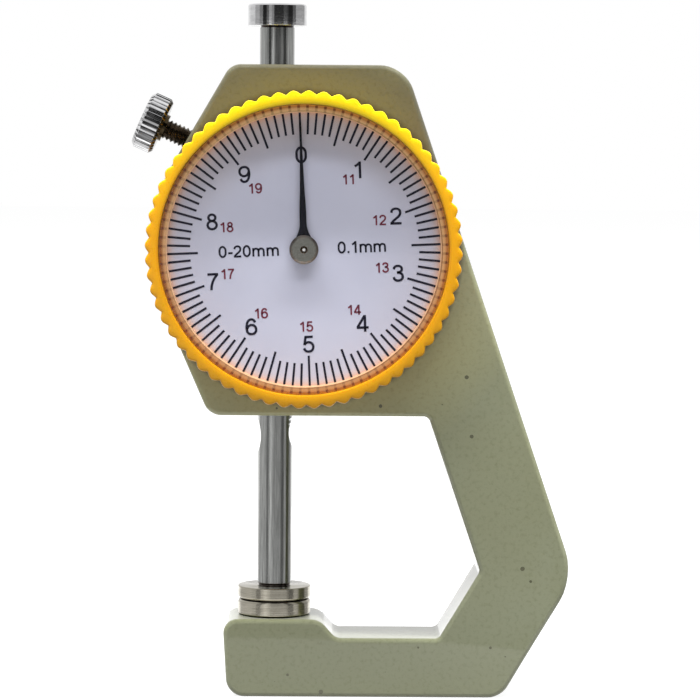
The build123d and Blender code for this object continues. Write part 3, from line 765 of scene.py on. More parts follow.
def make_dial_paint():
    """Matt bluish-grey paint, with a painted warm tint of light thrown back from the ring in its upper
    part, and a painted pink tint beside the orange skirt of the window.
    """
    paint = Finish("dial_paint")
    where = paint.place()
    grain = paint.noise(where, 0.12, 3.0)
    cloud = paint.noise(where, 9.0, 1.0)
    shade = paint.ramp(cloud, (0.35, screen(208, 210, 226)), (0.65, screen(213, 215, 230)))
    # painted bounce light: a warm tint in the upper part, where the ring shades the dial and throws its
    # yellow onto it
    upper = paint.range(paint.height(where), 66.0, 78.0, 0, 0.6)
    warm = paint.times(paint.range(paint.from_dial(), 11.0, 17.0), upper)
    shade = paint.blend(warm, shade, screen(212, 194, 178))
    # painted bounce light: a pink-orange tint beside the skirt
    tint = paint.math("POWER", paint.range(paint.from_dial(), 16.6, 18.5), 3.0)
    shade = paint.blend(paint.times(tint, 0.9), shade, screen(246, 194, 146))
    paint.set(Base_Color=paint.blend(paint.range(grain, 0.3, 0.7, 0.0, 0.25), shade, screen(202, 203, 218)),
              Roughness=0.55, Specular_IOR_Level=0.3)
    paint.bump(grain, 0.003, 0.6)
    return paint.material


def make_ink(name, colour, worn):
    """Printing ink: not quite even, where the screen left it thin."""
    ink = Finish(name)
    grain = ink.noise(ink.place(), 0.15, 3.0)
    ink.set(Base_Color=ink.ramp(grain, (0.35, colour), (0.75, worn)), Roughness=0.5, Specular_IOR_Level=0.3)
    return ink.material


def make_pointer_lacquer():
    """Satin black lacquer."""
    lacquer = Finish("black_lacquer")
    where = lacquer.place()
    grain = lacquer.noise(where, 0.2, 3.0)
    lacquer.set(Base_Color=lacquer.ramp(grain, (0.3, screen(8, 10, 16)), (0.7, screen(18, 20, 30))),
                Roughness=lacquer.range(grain, 0.3, 0.7, 0.42, 0.30), Specular_IOR_Level=0.2)
    lacquer.bump(grain, 0.004)
    return lacquer.material


YELLOW = make_yellow()
DIAL_PAINT = make_dial_paint()
BLACK_INK = make_ink("black_ink", screen(16, 15, 34), screen(34, 32, 52))
RED_INK = make_ink("red_ink", screen(112, 40, 58), screen(132, 60, 78))
POINTER_BLACK = make_pointer_lacquer()
print("made", YELLOW.name, DIAL_PAINT.name, BLACK_INK.name, RED_INK.name, POINTER_BLACK.name)

# %% [markdown]
# ## The casting
# The real casting is poured in sand and its edges are rounded by hand. A circle with as many corners as
# the outline has is a quick start: each corner is moved to its place, the face is pulled to the
# casting's thickness, and then every upright edge gets its own round before the rims get theirs. The
# boss for the ring is added, and the pocket and the bores are cut last, so that their edges stay crisp.

# %% Outline of the casting
LOW_ARM, HIGH_ARM = 11.55, 12.05    # how wide the two halves of the back arm are


def outline_corners():
    """The corners of the casting seen from the front, with their radii, counter-clockwise."""
    low_slope, high_slope = math.radians(30.9), math.radians(18.83)
    base_right, top_right, top_left = 31.2, 17.4, -6.2
    outer_high = top_right + math.tan(high_slope) * HEAD_TOP
    slopes = math.tan(low_slope) + math.tan(high_slope)
    knee = (outer_high - base_right) / slopes
    inner_low = base_right - LOW_ARM / math.cos(low_slope)
    inner_high = outer_high - HIGH_ARM / math.cos(high_slope)
    inner_knee = (inner_high - inner_low) / slopes
    floor = 8.15
    pad_right, pad_fall = 6.25, math.radians(41.5)
    head_left, head_bottom_left = -15.4, -8.95
    left_low = HEAD_UNDERSIDE + (head_bottom_left - head_left) / math.tan(math.radians(23.7))
    left_high = HEAD_TOP - (top_left - head_left) / math.tan(math.radians(30.1))
    arm_end, draft = -6.35, math.radians(3.7)
    return [
        (base_right, 0, 3.0),
        (base_right + knee * math.tan(low_slope), knee, 8.0),
        (top_right, HEAD_TOP, 4.7),
        (top_left, HEAD_TOP, 2.2),
        (head_left, left_high, 4.0),
        (head_left, left_low, 4.0),
        (head_bottom_left, HEAD_UNDERSIDE, 2.4),
        (inner_high - HEAD_UNDERSIDE * math.tan(high_slope), HEAD_UNDERSIDE, 0.9),
        (inner_low + inner_knee * math.tan(low_slope), inner_knee, 1.0),
        (inner_low + floor * math.tan(low_slope), floor, 0.9),
        (pad_right + (PAD_HEIGHT - floor) * math.tan(pad_fall), floor, 1.6),
        (pad_right, PAD_HEIGHT, 2.4),
        (arm_end - PAD_HEIGHT * math.tan(draft), PAD_HEIGHT, 2.0),
        (arm_end, 0, 2.5),
    ]


def turn_at(before, corner, after):
    """How far the outline turns at a corner, in radians."""
    first = Vector((corner[0] - before[0], corner[1] - before[1]))
    second = Vector((after[0] - corner[0], after[1] - corner[1]))
    return first.angle(second)


print("corners:", [(round(x, 1), round(y, 1)) for x, y, _ in outline_corners()])

# %% Casting with round edges
RIM_ROUND = 0.65


def make_casting():
    """The outline pulled to its thickness, with every edge rounded."""
    corners = outline_corners()
    casting = add_disc("casting", 10.0, -HALF_THICKNESS, len(corners))
    mesh = bmesh.from_edit_mesh(casting.data)
    mesh.verts.ensure_lookup_table()
    starts = [vert.co.copy() for vert in mesh.verts]
    loop = sorted(range(len(corners)), key=lambda i: math.atan2(starts[i].y, starts[i].x))
    for index, (x, y, _) in zip(loop, corners):
        pick(casting, "VERT", lambda vert: vert.index == index)
        bpy.ops.transform.translate(value=(x - starts[index].x, y - starts[index].y, 0))
    bpy.ops.mesh.select_mode(type="FACE")
    pick_all()
    extrude(0, 0, 2 * HALF_THICKNESS)
    for number, (x, y, radius) in enumerate(corners):
        bend = turn_at(corners[number - 1], corners[number], corners[(number + 1) % len(corners)])
        pick(casting, "EDGE", lambda edge: all(
            math.hypot(vert.co.x - x, vert.co.y - y) < 0.01 for vert in edge.verts))
        bpy.ops.mesh.bevel(offset=radius * math.tan(bend / 2), segments=max(4, round(bend * 7)),
                           profile=0.5, clamp_overlap=False)
    rims = pick(casting, "EDGE", lambda edge: abs(
        edge.verts[0].co.z + edge.verts[1].co.z) > 2 * HALF_THICKNESS - 0.01)
    bpy.ops.mesh.bevel(offset=RIM_ROUND, segments=5, profile=0.5, clamp_overlap=False)
    tidy_mesh(casting)
    print("rim edges:", rims)
    return casting


casting = make_casting()

# %% Boss, pocket and bores
POCKET_RADIUS, POCKET_BACK = 15.5, -3.2
SEAT_RADIUS, SEAT_BACK = 16.2, 5.0    # the step that the movement's plate lies in
BUSH_BORE, LOCK_BORE = 3.22, 1.5
BORES = [("spindle_bore", BUSH_BORE, HEAD_UNDERSIDE - 1, HEAD_TOP + 1),
         ("stem_bore", STEM_RADIUS, STEM_LOW, PAD_HEIGHT + 1)]


def cut_casting(casting):
    """The boss in front of the head, the pocket for the movement, and the bores."""
    boss = turn("boss", [(BOSS_RADIUS, 0), (BOSS_RADIUS, BOSS_FRONT)])
    pocket = turn("pocket", [(POCKET_RADIUS, POCKET_BACK), (POCKET_RADIUS, SEAT_BACK),
                             (SEAT_RADIUS, SEAT_BACK), (SEAT_RADIUS, BOSS_FRONT + 1)])
    for tool, operation in ((boss, "UNION"), (pocket, "DIFFERENCE")):
        tool.location = (DIAL_X, DIAL_HEIGHT, 0)
        carve(casting, tool, operation)
    for name, radius, low, high in BORES:
        bore = turn(name, [(radius, low), (radius, high)], 64)
        bore.rotation_euler = (-math.pi / 2, 0, 0)
        carve(casting, bore)
    lock = turn("lock_bore", [(LOCK_BORE, 0), (LOCK_BORE, 15.0)], 64)
    lock.matrix_world = (Matrix.Translation((LOCK_PLACE[0], LOCK_PLACE[2], 0))
                         @ Matrix.Rotation(-LOCK_SLOPE, 4, "Z") @ Matrix.Rotation(math.pi / 2, 4, "Y"))
    carve(casting, lock)


cut_casting(casting)
settle(casting, "gauge_frame", ENAMEL, ["frame"], turned=FRONT, smooth=30)

# %% [markdown]
# ## The waved ring
# Sixty-four low waves give the fingers a grip. All waves are alike, so the edge of the ring is a circle
# with ten points for each wave, and the points at the same place of their waves are scaled together.
# The edge is then pulled forward, rounded at the front, and pulled back inside as the bore. A lip inside
# carries the dial and lies in front of the casting's boss.

# %% Waves
WAVES, WAVE_POINTS = 64, 10
WAVE_ROOT, WAVE_TIP = 20.8, 21.3
WAVE_OFFSET = math.radians(1.68) + ZERO_ANGLE


def wave_radius(share):
    """The ring's radius at a share of a wave from its crest: a full round crest and a narrow root."""
    return WAVE_ROOT + (WAVE_TIP - WAVE_ROOT) * abs(math.cos(math.pi * share)) ** 1.2


def current_radius(piece):
    """The mean distance of the selected points from the Z axis."""
    mesh = bmesh.from_edit_mesh(piece.data)
    reach = [math.hypot(vert.co.x, vert.co.y) for vert in mesh.verts if vert.select]
    return sum(reach) / len(reach)


def pick_phase(piece, waves, points, phase, beyond=0.0):
    """Select the point at one place of every wave, if it lies beyond a radius, and count them."""
    return pick(piece, "VERT", lambda vert: math.hypot(vert.co.x, vert.co.y) > beyond and round(
        (math.atan2(vert.co.y, vert.co.x) / math.tau) % 1 * waves * points) % points == phase)


print("a wave:", [round(wave_radius(place / WAVE_POINTS), 2) for place in range(WAVE_POINTS)])

# %% Waved ring
DIAL_SEAT, LIP_BACK = 9.2, 8.6
LIP_RADIUS, BOSS_CLEARANCE = 16.8, 18.1    # the lip lies in front of the boss, the rest round it


def make_ring():
    """The ring, from its back edge round the outside, over the front and back down the bore."""
    back, front = BEZEL_BACK, BEZEL_FRONT
    height = back + 0.25
    ring = add_disc("waved_ring", WAVE_ROOT, height, WAVES * WAVE_POINTS, filled=False)
    for phase in range(WAVE_POINTS):
        ratio = wave_radius(phase / WAVE_POINTS) / WAVE_ROOT
        count = pick_phase(ring, WAVES, WAVE_POINTS, phase)
        bpy.ops.transform.resize(value=(ratio, ratio, 1), center_override=(0, 0, 0))
    print("points at each place of a wave:", count)
    pick_all()
    shrunk = 0.0
    outside = [(0.0, front - 0.36), (0.03, front - 0.20), (0.08, front - 0.09), (0.15, front - 0.02),
               (0.23, front)]
    for shrink, next_height in outside:
        ratio = 1 - (shrink - shrunk) / WAVE_TIP
        pull(next_height - height, ratio, next_height, region=False)
        height, shrunk = next_height, shrink
    pull(0, 0.975, front, region=False)
    bpy.ops.transform.tosphere(value=1.0)
    radius = current_radius(ring)
    inside = [(WINDOW_RADIUS + 0.22, front), (WINDOW_RADIUS + 0.06, front - 0.06),
              (WINDOW_RADIUS, front - 0.2), (WINDOW_RADIUS, DIAL_SEAT), (LIP_RADIUS, DIAL_SEAT),
              (LIP_RADIUS, LIP_BACK), (BOSS_CLEARANCE, LIP_BACK), (BOSS_CLEARANCE, back),
              (20.4, back), (20.62, back + 0.06)]
    for next_radius, next_height in inside:
        pull(next_height - height, next_radius / radius, next_height, region=False)
        radius, height = next_radius, next_height
    pick(ring, "EDGE", lambda edge: edge.is_boundary)
    bpy.ops.mesh.bridge_edge_loops()
    tidy_mesh(ring, 0.0001)
    return ring


ring = make_ring()
spin(ring, WAVE_OFFSET)
settle(ring, "bezel", YELLOW, ["bezel_rim"], DIAL_PLACE, FRONT, smooth=50)

# %% [markdown]
# ## The window
# The window is moulded in clear plastic, a flat front with a skirt that holds the dial down. Seen from the
# front the skirt is a band that shows the ring's yellow, and the graduation once more as a row of dark
# dashes; both are painted reflections. The pane lets light through as if it weren't there and only adds its
# gloss. The band is painted, by its distance from the centre and the angle round it, with painted light and
# shade: lighter above, darker below and on the left, and a painted dark line where the skirt meets the
# dial.

# %% Clear plastic


def make_pane_plastic():
    """Clear plastic: nothing but a soft gloss."""
    pane = Finish("clear_plastic")
    pane.nodes.remove(pane.shader)
    clear = pane.add("BsdfTransparent", {"Color": (0.985, 0.985, 0.995, 1)})
    wave = pane.range(pane.noise(pane.place(), 12.0, 1.0), 0.3, 0.7, 0.03, 0.07)
    gloss = pane.add("BsdfGlossy", {"Color": (1, 1, 1, 1), "Roughness": wave})
    facing = pane.add("LayerWeight", {"Blend": 0.5}).outputs["Facing"]
    grazing = pane.times(pane.math("POWER", facing, 5.0), 0.35)
    share = pane.math("ADD", grazing, 0.004)
    mix = pane.add("MixShader", {0: share, 1: clear.outputs[0], 2: gloss.outputs[0]})
    pane.links.new(mix.outputs[0], pane.output.inputs["Surface"])
    return pane.material


PANE = make_pane_plastic()
print("made", PANE.name)

# %% Skirt's plastic
# a painted dark line, the clear skirt's inner edge seen through it
SKIRT_DARK_LINE = 18.57    # the thin dark line where the skirt meets the dial


def make_skirt_plastic():
    """The skirt: a painted reflection of the ring's orange, paler near the dial, crossed by painted
    reflections of the graduation's dashes, lighter above and darker below as painted light and shade.
    """
    skirt = Finish("skirt_plastic")
    where = skirt.place(DIAL_PLACE)
    apart = skirt.add("SeparateXYZ", {0: where}).outputs
    radius = skirt.from_dial()
    angle = skirt.math("ARCTAN2", apart["Z"], apart["X"])
    turns = skirt.math("DIVIDE", skirt.math("SUBTRACT", angle, math.pi / 2 + ZERO_ANGLE), math.tau / 100)
    stray = skirt.apart(turns, skirt.math("ROUND", turns))
    reach = skirt.range(radius, 18.4, 19.5)
    # painted light and shade: a lit copy of the band above and a shaded copy below
    above = skirt.ramp(
        reach, (0.00, screen(255, 204, 158)), (0.20, screen(255, 210, 148)), (0.42, screen(255, 208, 144)),
        (0.55, screen(246, 186, 118)), (0.72, screen(214, 144, 74)), (0.86, screen(236, 164, 80)),
        (1.00, screen(246, 176, 62)))
    below = skirt.ramp(
        reach, (0.00, screen(206, 164, 124)), (0.20, screen(200, 154, 106)), (0.42, screen(212, 160, 106)),
        (0.58, screen(206, 150, 90)), (0.74, screen(176, 112, 50)), (0.86, screen(184, 118, 46)),
        (1.00, screen(206, 140, 52)))
    colour = skirt.blend(skirt.range(apart["Z"], -8.0, 12.0), below, above)
    # painted shade: darker on the left, in the outer part of the band
    left = skirt.range(apart["X"], -6.0, -18.0, 0.0, 0.5)
    shade = skirt.times(left, skirt.range(reach, 0.3, 0.6))
    colour = skirt.blend(shade, colour, screen(118, 62, 16))
    # painted dark line where the skirt meets the dial, stronger to the right
    line = skirt.range(skirt.apart(radius, SKIRT_DARK_LINE), 0.05, 0.13, 1.0, 0.0)
    edge_line = skirt.times(line, skirt.range(apart["X"], -6.0, 16.0, 0.15, 0.6))
    colour = skirt.blend(edge_line, colour, screen(126, 66, 26))
    # painted reflection: the graduation's dashes, darkest in the outer part of the band
    strengths = ((0.05, 0.0), (0.2, 0.35), (0.5, 0.30), (0.62, 0.80), (0.78, 0.80), (0.9, 0.40))
    depth = skirt.ramp(reach, *((place, (share, share, share, 1)) for place, share in strengths))
    dash_reflection = skirt.times(skirt.range(stray, 0.10, 0.19, 1.0, 0.0), depth)
    skirt.set(Base_Color=skirt.blend(dash_reflection, colour, screen(106, 42, 20)),
              Roughness=0.25, Specular_IOR_Level=0.4)
    skirt.bump(skirt.noise(where, 0.5, 2.0), 0.01, 0.4)
    return skirt.material


SKIRT = make_skirt_plastic()
print("made", SKIRT.name)

# %% Window
OUTER = WINDOW_RADIUS - 0.05
INNER = WINDOW_RADIUS - WINDOW_SKIRT
PANE_BACK, PANE_FRONT, SKIRT_FRONT = 11.4, 12.4, 11.35
pane = turn("window_pane", [(OUTER - 0.30, PANE_BACK), (OUTER, PANE_BACK), (OUTER, PANE_FRONT - 0.25),
                            (OUTER - 0.07, PANE_FRONT - 0.08), (OUTER - 0.25, PANE_FRONT)], 192)
settle(pane, "bezel", PANE, ["crystal"], DIAL_PLACE, FRONT)
skirt = turn_ring("window_skirt", [(INNER, DIAL_FACE), (OUTER, DIAL_FACE), (OUTER, SKIRT_FRONT),
                                   (INNER + 0.12, SKIRT_FRONT), (INNER, SKIRT_FRONT - 0.15)], 192)
settle(skirt, "bezel", SKIRT, (), DIAL_PLACE, FRONT)

# %% [markdown]
# ## The print on the dial
# A hundred lines stand round the dial, one for each tenth of a millimetre. Two are modelled, a long one
# for every fifth and a short one for those between, and they are copied round the dial. All print is
# turned by two and a half degrees with the dial, because that is where its zero was set.

# %% Graduation
LINES, LINE_WIDTH, PRINT_THICKNESS = 100, 0.30, 0.02
LINE_OUTER, LINE_INNER_SHORT, LINE_INNER_LONG = 18.5, 15.42, 14.38
PRINT_PLACE = (DIAL_X + 0.108, 0, DIAL_HEIGHT + 0.054)    # the print sits a trifle off centre


def make_line(inner_radius):
    """One printed line, on the dial's upright radius."""
    deselect()
    bpy.ops.mesh.primitive_plane_add(size=1.0, location=(0, 0, 0))
    line = bpy.context.object
    open_mesh(line)
    pick_all()
    bpy.ops.transform.resize(value=(LINE_WIDTH, LINE_OUTER - inner_radius, 1))
    bpy.ops.transform.translate(value=(0, (LINE_OUTER + inner_radius) / 2, DIAL_FACE))
    extrude(0, 0, PRINT_THICKNESS)
    face_outwards()
    return line


def make_graduation():
    """All the lines, long at every fifth."""
    short, long = make_line(LINE_INNER_SHORT), make_line(LINE_INNER_LONG)
    lines = []
    for number in range(LINES):
        line = duplicate(long if number % 5 == 0 else short)
        line.rotation_euler = (0, 0, ZERO_ANGLE - number * math.tau / LINES)
        lines.append(line)
    for original in (short, long):
        bpy.data.objects.remove(original, do_unlink=True)
    take(*lines)
    bpy.ops.object.transform_apply(location=False, rotation=True, scale=False)
    return join(lines, "dial_lines")


graduation = make_graduation()
settle(graduation, "bezel", BLACK_INK, (), PRINT_PLACE, FRONT)

# %% [markdown]
# ### Figures
# The figures are the plain, even strokes of an engraver's alphabet. Each is drawn once by the middle
# line of its strokes, for a figure one unit tall: a loop closes on itself, a bow is a smooth line and a
# bar a straight one.

# %% The strokes of the figures
BOWL = [(0.22, 0.76), (0.14, 0.89), (0.0, 0.94), (-0.17, 0.85), (-0.26, 0.60), (-0.265, 0.38),
        (-0.20, 0.14), (0.01, 0.06), (0.20, 0.14), (0.27, 0.33), (0.20, 0.52), (0.02, 0.605),
        (-0.17, 0.52), (-0.25, 0.38)]
ARCH = [(0.0, 0.46), (0.07, 0.62), (0.23, 0.68), (0.40, 0.61), (0.45, 0.46)]
FIGURES = {
    "0": [("loop", [(0, 0.94), (-0.21, 0.79), (-0.26, 0.5), (-0.21, 0.21), (0, 0.06), (0.21, 0.21),
                    (0.26, 0.5), (0.21, 0.79)])],
    "1": [("bar", [(0.09, 0), (0.09, 1.0)]), ("bow", [(0.09, 0.95), (-0.04, 0.82), (-0.20, 0.72)])],
    "2": [("bow", [(-0.25, 0.70), (-0.19, 0.87), (0.01, 0.94), (0.20, 0.87), (0.26, 0.70), (0.19, 0.51),
                   (-0.04, 0.30), (-0.20, 0.14), (-0.25, 0.05)]), ("bar", [(-0.32, 0.06), (0.32, 0.06)])],
    "3": [("bow", [(-0.24, 0.75), (-0.17, 0.89), (0.0, 0.94), (0.16, 0.89), (0.22, 0.76), (0.16, 0.61),
                   (-0.06, 0.545)]),
          ("bow", [(-0.06, 0.545), (0.16, 0.49), (0.26, 0.30), (0.19, 0.13), (0.0, 0.06), (-0.18, 0.12),
                   (-0.26, 0.28)])],
    "4": [("bar", [(0.13, 0), (0.13, 1.0)]), ("bar", [(0.12, 0.97), (-0.31, 0.26)]),
          ("bar", [(-0.34, 0.255), (0.33, 0.255)])],
    "5": [("bar", [(0.26, 0.94), (-0.19, 0.94)]), ("bar", [(-0.15, 0.98), (-0.23, 0.46)]),
          ("bow", [(-0.235, 0.47), (-0.11, 0.59), (0.03, 0.62), (0.20, 0.53), (0.27, 0.34), (0.19, 0.13),
                   (0.0, 0.06), (-0.18, 0.12), (-0.26, 0.27)])],
    "6": [("bow", BOWL)],
    "7": [("bar", [(-0.30, 0.94), (0.31, 0.94)]),
          ("bow", [(0.27, 0.94), (0.06, 0.64), (-0.06, 0.32), (-0.10, 0.0)])],
    "8": [("loop", [(0, 0.94), (-0.20, 0.75), (0, 0.56), (0.20, 0.75)]),
          ("loop", [(0, 0.55), (-0.26, 0.31), (0, 0.06), (0.26, 0.31)])],
    "9": [("bow", [(-x, 1 - y) for x, y in BOWL])],
    "m": [("bar", [(-0.45, 0), (-0.45, 0.74)]), ("bow", [(x - 0.45, y) for x, y in ARCH]),
          ("bar", [(0.0, 0.47), (0.0, 0)]), ("bow", ARCH), ("bar", [(0.45, 0.47), (0.45, 0)])],
    "-": [("bar", [(-0.16, 0.37), (0.22, 0.37)])],
    ".": [("bar", [(0, 0), (0, 0.17)])],
}
print("characters:", "".join(FIGURES))

# %% [markdown]
# ### From strokes to plates
# A short straight curve is the nib: swept along the middle lines, it gives every stroke the same width.
# Made a mesh and pulled up by one unit, the figure is a plate that is scaled when it is set.

# %% Drawing a figure


def make_nib(stroke):
    """The short straight curve that gives the strokes their width."""
    bpy.ops.curve.primitive_bezier_curve_add()
    nib = bpy.context.object
    for point, x in zip(nib.data.splines[0].bezier_points, (-stroke / 2, stroke / 2)):
        point.handle_left_type = point.handle_right_type = "VECTOR"
        point.co = (x, 0, 0)
    nib.data.resolution_u = 1
    return nib


def draw_figure(character, nib):
    """One figure as a thin plate, one unit tall, standing on the X axis."""
    deselect()
    bpy.ops.curve.primitive_bezier_curve_add()
    figure = bpy.context.object
    splines = figure.data.splines
    splines.remove(splines[0])
    for kind, points in FIGURES[character]:
        spline = splines.new("BEZIER")
        spline.bezier_points.add(len(points) - 1)
        spline.use_cyclic_u = kind == "loop"
        for point, (x, y) in zip(spline.bezier_points, points):
            point.co = (x, y, 0)
            point.handle_left_type = point.handle_right_type = "VECTOR" if kind == "bar" else "AUTO"
        spline.resolution_u = 1 if kind == "bar" else 4
    figure.data.bevel_mode = "OBJECT"
    figure.data.bevel_object = nib
    bpy.ops.object.convert(target="MESH")
    figure = bpy.context.object
    open_mesh(figure)
    pick_all()
    bpy.ops.mesh.remove_doubles(threshold=0.0005)
    extrude(0, 0, 1)
    face_outwards()
    return figure


def draw_figures(characters, stroke):
    """The drawn figures of some characters, all with one nib."""
    nib = make_nib(stroke)
    drawn = {character: draw_figure(character, nib) for character in characters}
    bpy.data.objects.remove(nib, do_unlink=True)
    return drawn


LARGE_STROKE, SMALL_STROKE = 0.143, 0.168    # as shares of the figures' height
large = draw_figures("0123456789", LARGE_STROKE)
small = draw_figures(FIGURES, SMALL_STROKE)
print("drawn:", len(large), "large and", len(small), "small")

# %% [markdown]
# ### Setting the print
# Every number is a row of copies, centred on its own place on the dial. One layer is printed black, for
# the first turn and the two short texts, and one dark red, for the second turn.

# %% Setting the print
ADVANCE, WIDE_OR_NARROW = 0.79, {"m": 1.20, "-": 0.46, ".": 0.35, "1": 0.72}


def set_text(drawn, text, height, x, y, wide=1.0, spread=1.0):
    """Copies of the drawn figures in a row, centred at a place on the dial."""
    steps = [WIDE_OR_NARROW.get(character, ADVANCE) * spread for character in text]
    start = -sum(steps) / 2
    row = []
    for character, step in zip(text, steps):
        copy = duplicate(drawn[character])
        copy.scale = (height * wide, height, PRINT_THICKNESS)
        copy.location = (x + (start + step / 2) * height, y - height / 2, DIAL_FACE)
        row.append(copy)
        start += step
    return row


def settle_print(name, rows, ink):
    """Join figures, turn them with the dial and settle them."""
    figures = [figure for row in rows for figure in row]
    take(*figures)
    bpy.ops.object.transform_apply(location=True, rotation=True, scale=True)
    layer = join(figures, name)
    spin(layer, ZERO_ANGLE)
    settle(layer, "bezel", ink, (), PRINT_PLACE, FRONT, smooth=20)


FIRST_TURN = [(-0.01, 12.68), (7.60, 10.37), (12.40, 4.00), (12.44, -3.71), (7.44, -10.30), (0.03, -12.83),
              (-7.57, -10.19), (-12.51, -3.93), (-12.32, 4.11), (-7.73, 10.32)]
SECOND_TURN = [(6.25, 9.15), (10.16, 3.53), (10.30, -2.87), (6.34, -8.42), (-0.19, -10.44), (-6.21, -8.43),
               (-10.50, -2.97), (-10.39, 3.33), (-6.36, 8.40)]
black = [set_text(large, str(number), 2.25, x, y, 1.05) for number, (x, y) in enumerate(FIRST_TURN)]
black.append(set_text(small, "0-20mm", 1.56, -7.52, 0.02, spread=1.02))
black.append(set_text(small, "0.1mm", 1.57, 7.70, 0.04))
settle_print("dial_figures", black, BLACK_INK)
red = [set_text(small, str(11 + number), 1.35, x, y, spread=0.96)
       for number, (x, y) in enumerate(SECOND_TURN)]
settle_print("second_turn_figures", red, RED_INK)
for drawn in [*large.values(), *small.values()]:
    bpy.data.objects.remove(drawn, do_unlink=True)

# %% [markdown]
# ## The pointer and its hub
# The pointer is stamped from thin sheet: a long needle that widens slowly and then flares into a disc.
# One short edge is pulled up station by station and narrowed each time. The hub that clamps it is
# turned, with a bevelled rim, and the shaft's domed end shows in a recess at its middle.

# %% Pointer
POINTER_BACK, POINTER_THICKNESS = 10.1, 0.25
POINTER_DISC, POINTER_BEVEL = 1.78, 0.04
POINTER_ANGLE = math.radians(2.0)
# how far from the centre, and how wide the needle is there
POINTER_STATIONS = [(1.0, 2.7), (1.62, 2.06), (2.3, 1.42), (2.97, 1.03), (3.64, 0.93), (5.0, 0.92),
                    (6.34, 0.81), (7.7, 0.65), (10.4, 0.49), (13.1, 0.35), (15.2, 0.29), (17.1, 0.22)]


def make_pointer():
    """The needle and its disc."""
    deselect()
    bpy.ops.mesh.primitive_plane_add(size=1.0, location=(0, 0, 0))
    needle = bpy.context.object
    needle.name = "pointer_needle"
    open_mesh(needle)
    pick_all()
    first, width = POINTER_STATIONS[0]
    bpy.ops.transform.resize(value=(width, first, 1))
    bpy.ops.transform.translate(value=(0, first / 2, POINTER_BACK))
    reach = first
    for station, next_width in POINTER_STATIONS[1:]:
        pick(needle, "EDGE", lambda edge: all(abs(vert.co.y - reach) < 1e-4 for vert in edge.verts))
        extrude(0, station - reach, 0)
        bpy.ops.transform.resize(value=(next_width / width, 1, 1),
                                 center_override=(0, station, POINTER_BACK))
        reach, width = station, next_width
    pick_all()
    extrude(0, 0, POINTER_THICKNESS)
    tidy_mesh(needle)
    disc = turn("pointer_disc", [(POINTER_DISC, POINTER_BACK),
                                 (POINTER_DISC, POINTER_BACK + POINTER_THICKNESS)], 64)
    carve(needle, disc, "UNION")
    soften(needle, POINTER_BEVEL, 2)
    spin(needle, POINTER_ANGLE)
    return needle


settle(make_pointer(), "pointer", POINTER_BLACK, ["pointer_hand"], DIAL_PLACE, FRONT)

# %% Hub
HUB_BARREL, HUB_RADIUS, HUB_HEIGHT = 0.95, 1.95, 0.44
seat = POINTER_BACK + POINTER_THICKNESS
rim, recess = seat + HUB_HEIGHT, seat + 0.20
hub = turn("pointer_cap", [(HUB_BARREL, POINTER_BACK - 0.2), (HUB_BARREL, seat), (HUB_RADIUS, seat),
                           (HUB_RADIUS, seat + 0.15), (HUB_RADIUS - 0.35, rim), (0.50, rim),
                           (0.47, recess), (0.25, recess),
                           (0.24, seat + 0.40), (0.18, seat + 0.47), (0.08, seat + 0.5)], 96)
# its finish paints a highlight on the domed end and shade in the recess and on the rim
settle(hub, "pointer", HUB_METAL, ["pointer_hub"], DIAL_PLACE, FRONT, smooth=25)

# %% [markdown]
# ## Spindle, discs and lift knob
# These are turned from bar. Each is a disc pulled up through the steps of its profile, and its sharp
# edges are broken by a small bevel, because that is where turned steel catches the light. The rack is
# cut with a row of wedges, made from one wedge and an Array modifier. Below the rack the cutter has run
# out in a hollow, and a shallow scallop lies opposite.

# %% Spindle and rack
RACK_PITCH, RACK_ROOT = 0.625, 1.9
RACK_LOW, RACK_SPACES = 36.5, 49
RACK_BOTTOM, RACK_FLARE = 0.13, 6.6    # a space's width at its root, and how much wider it is outside
SHOULDER_RADIUS = 2.25
RUN_OUT, SCALLOP = 4.1, 6.5


def make_rack_cutter():
    """A row of wedges, as wide apart as the teeth."""
    deselect()
    bpy.ops.mesh.primitive_cube_add(size=1.0, location=(0, 0, 0))
    wedge = bpy.context.object
    open_mesh(wedge)
    pick_all()
    bpy.ops.transform.resize(value=(1.0, 6.0, RACK_BOTTOM))
    bpy.ops.transform.translate(value=(RACK_ROOT + 0.5, 0, RACK_LOW))
    pick(wedge, "FACE", lambda face: face.normal.x > 0.9)
    bpy.ops.transform.resize(value=(1, 1, RACK_FLARE))
    apply_modifier(wedge, "ARRAY", count=RACK_SPACES, use_relative_offset=False, use_constant_offset=True,
                   constant_offset_displace=(0, 0, RACK_PITCH))
    return wedge


def round_cutter(radius, x, z):
    """A cylinder across the spindle."""
    tool = turn("cutter", [(radius, -6), (radius, 6)], 128)
    tool.matrix_world = Matrix.Translation((x, 0, z)) @ Matrix.Rotation(math.pi / 2, 4, "X")
    return tool


def make_spindle():
    """The rod, its rack, the run-out of the cutter and the scallop opposite."""
    low, high, radius = SPINDLE_LOW, SPINDLE_TOP, SPINDLE_RADIUS
    rod = turn("spindle_rod", [(radius - 0.2, low), (radius, low + 0.2), (radius, high - 0.06),
                               (radius - 0.06, high), (SHOULDER_RADIUS, high),
                               (SHOULDER_RADIUS, high + 2.2)], 96)
    carve(rod, make_rack_cutter())
    carve(rod, round_cutter(RUN_OUT, RACK_ROOT + RUN_OUT, RACK_LOW - RACK_PITCH))
    carve(rod, round_cutter(SCALLOP, -(radius - 0.42 + SCALLOP), HEAD_UNDERSIDE - 3.2))
    return rod


settle(make_spindle(), "spindle", SPINDLE_STEEL, ["measuring_spindle"], smooth=30)

# %% [markdown]
# ### The measuring discs
# Two hardened discs meet at zero. Each is turned with its stem or collar in one piece, and its rim is
# bevelled so that it can't burr: the bevels are the thin bright lines above and below the gap. A second
# step close to each bevel holds the shading of the upright side flat right up to it.

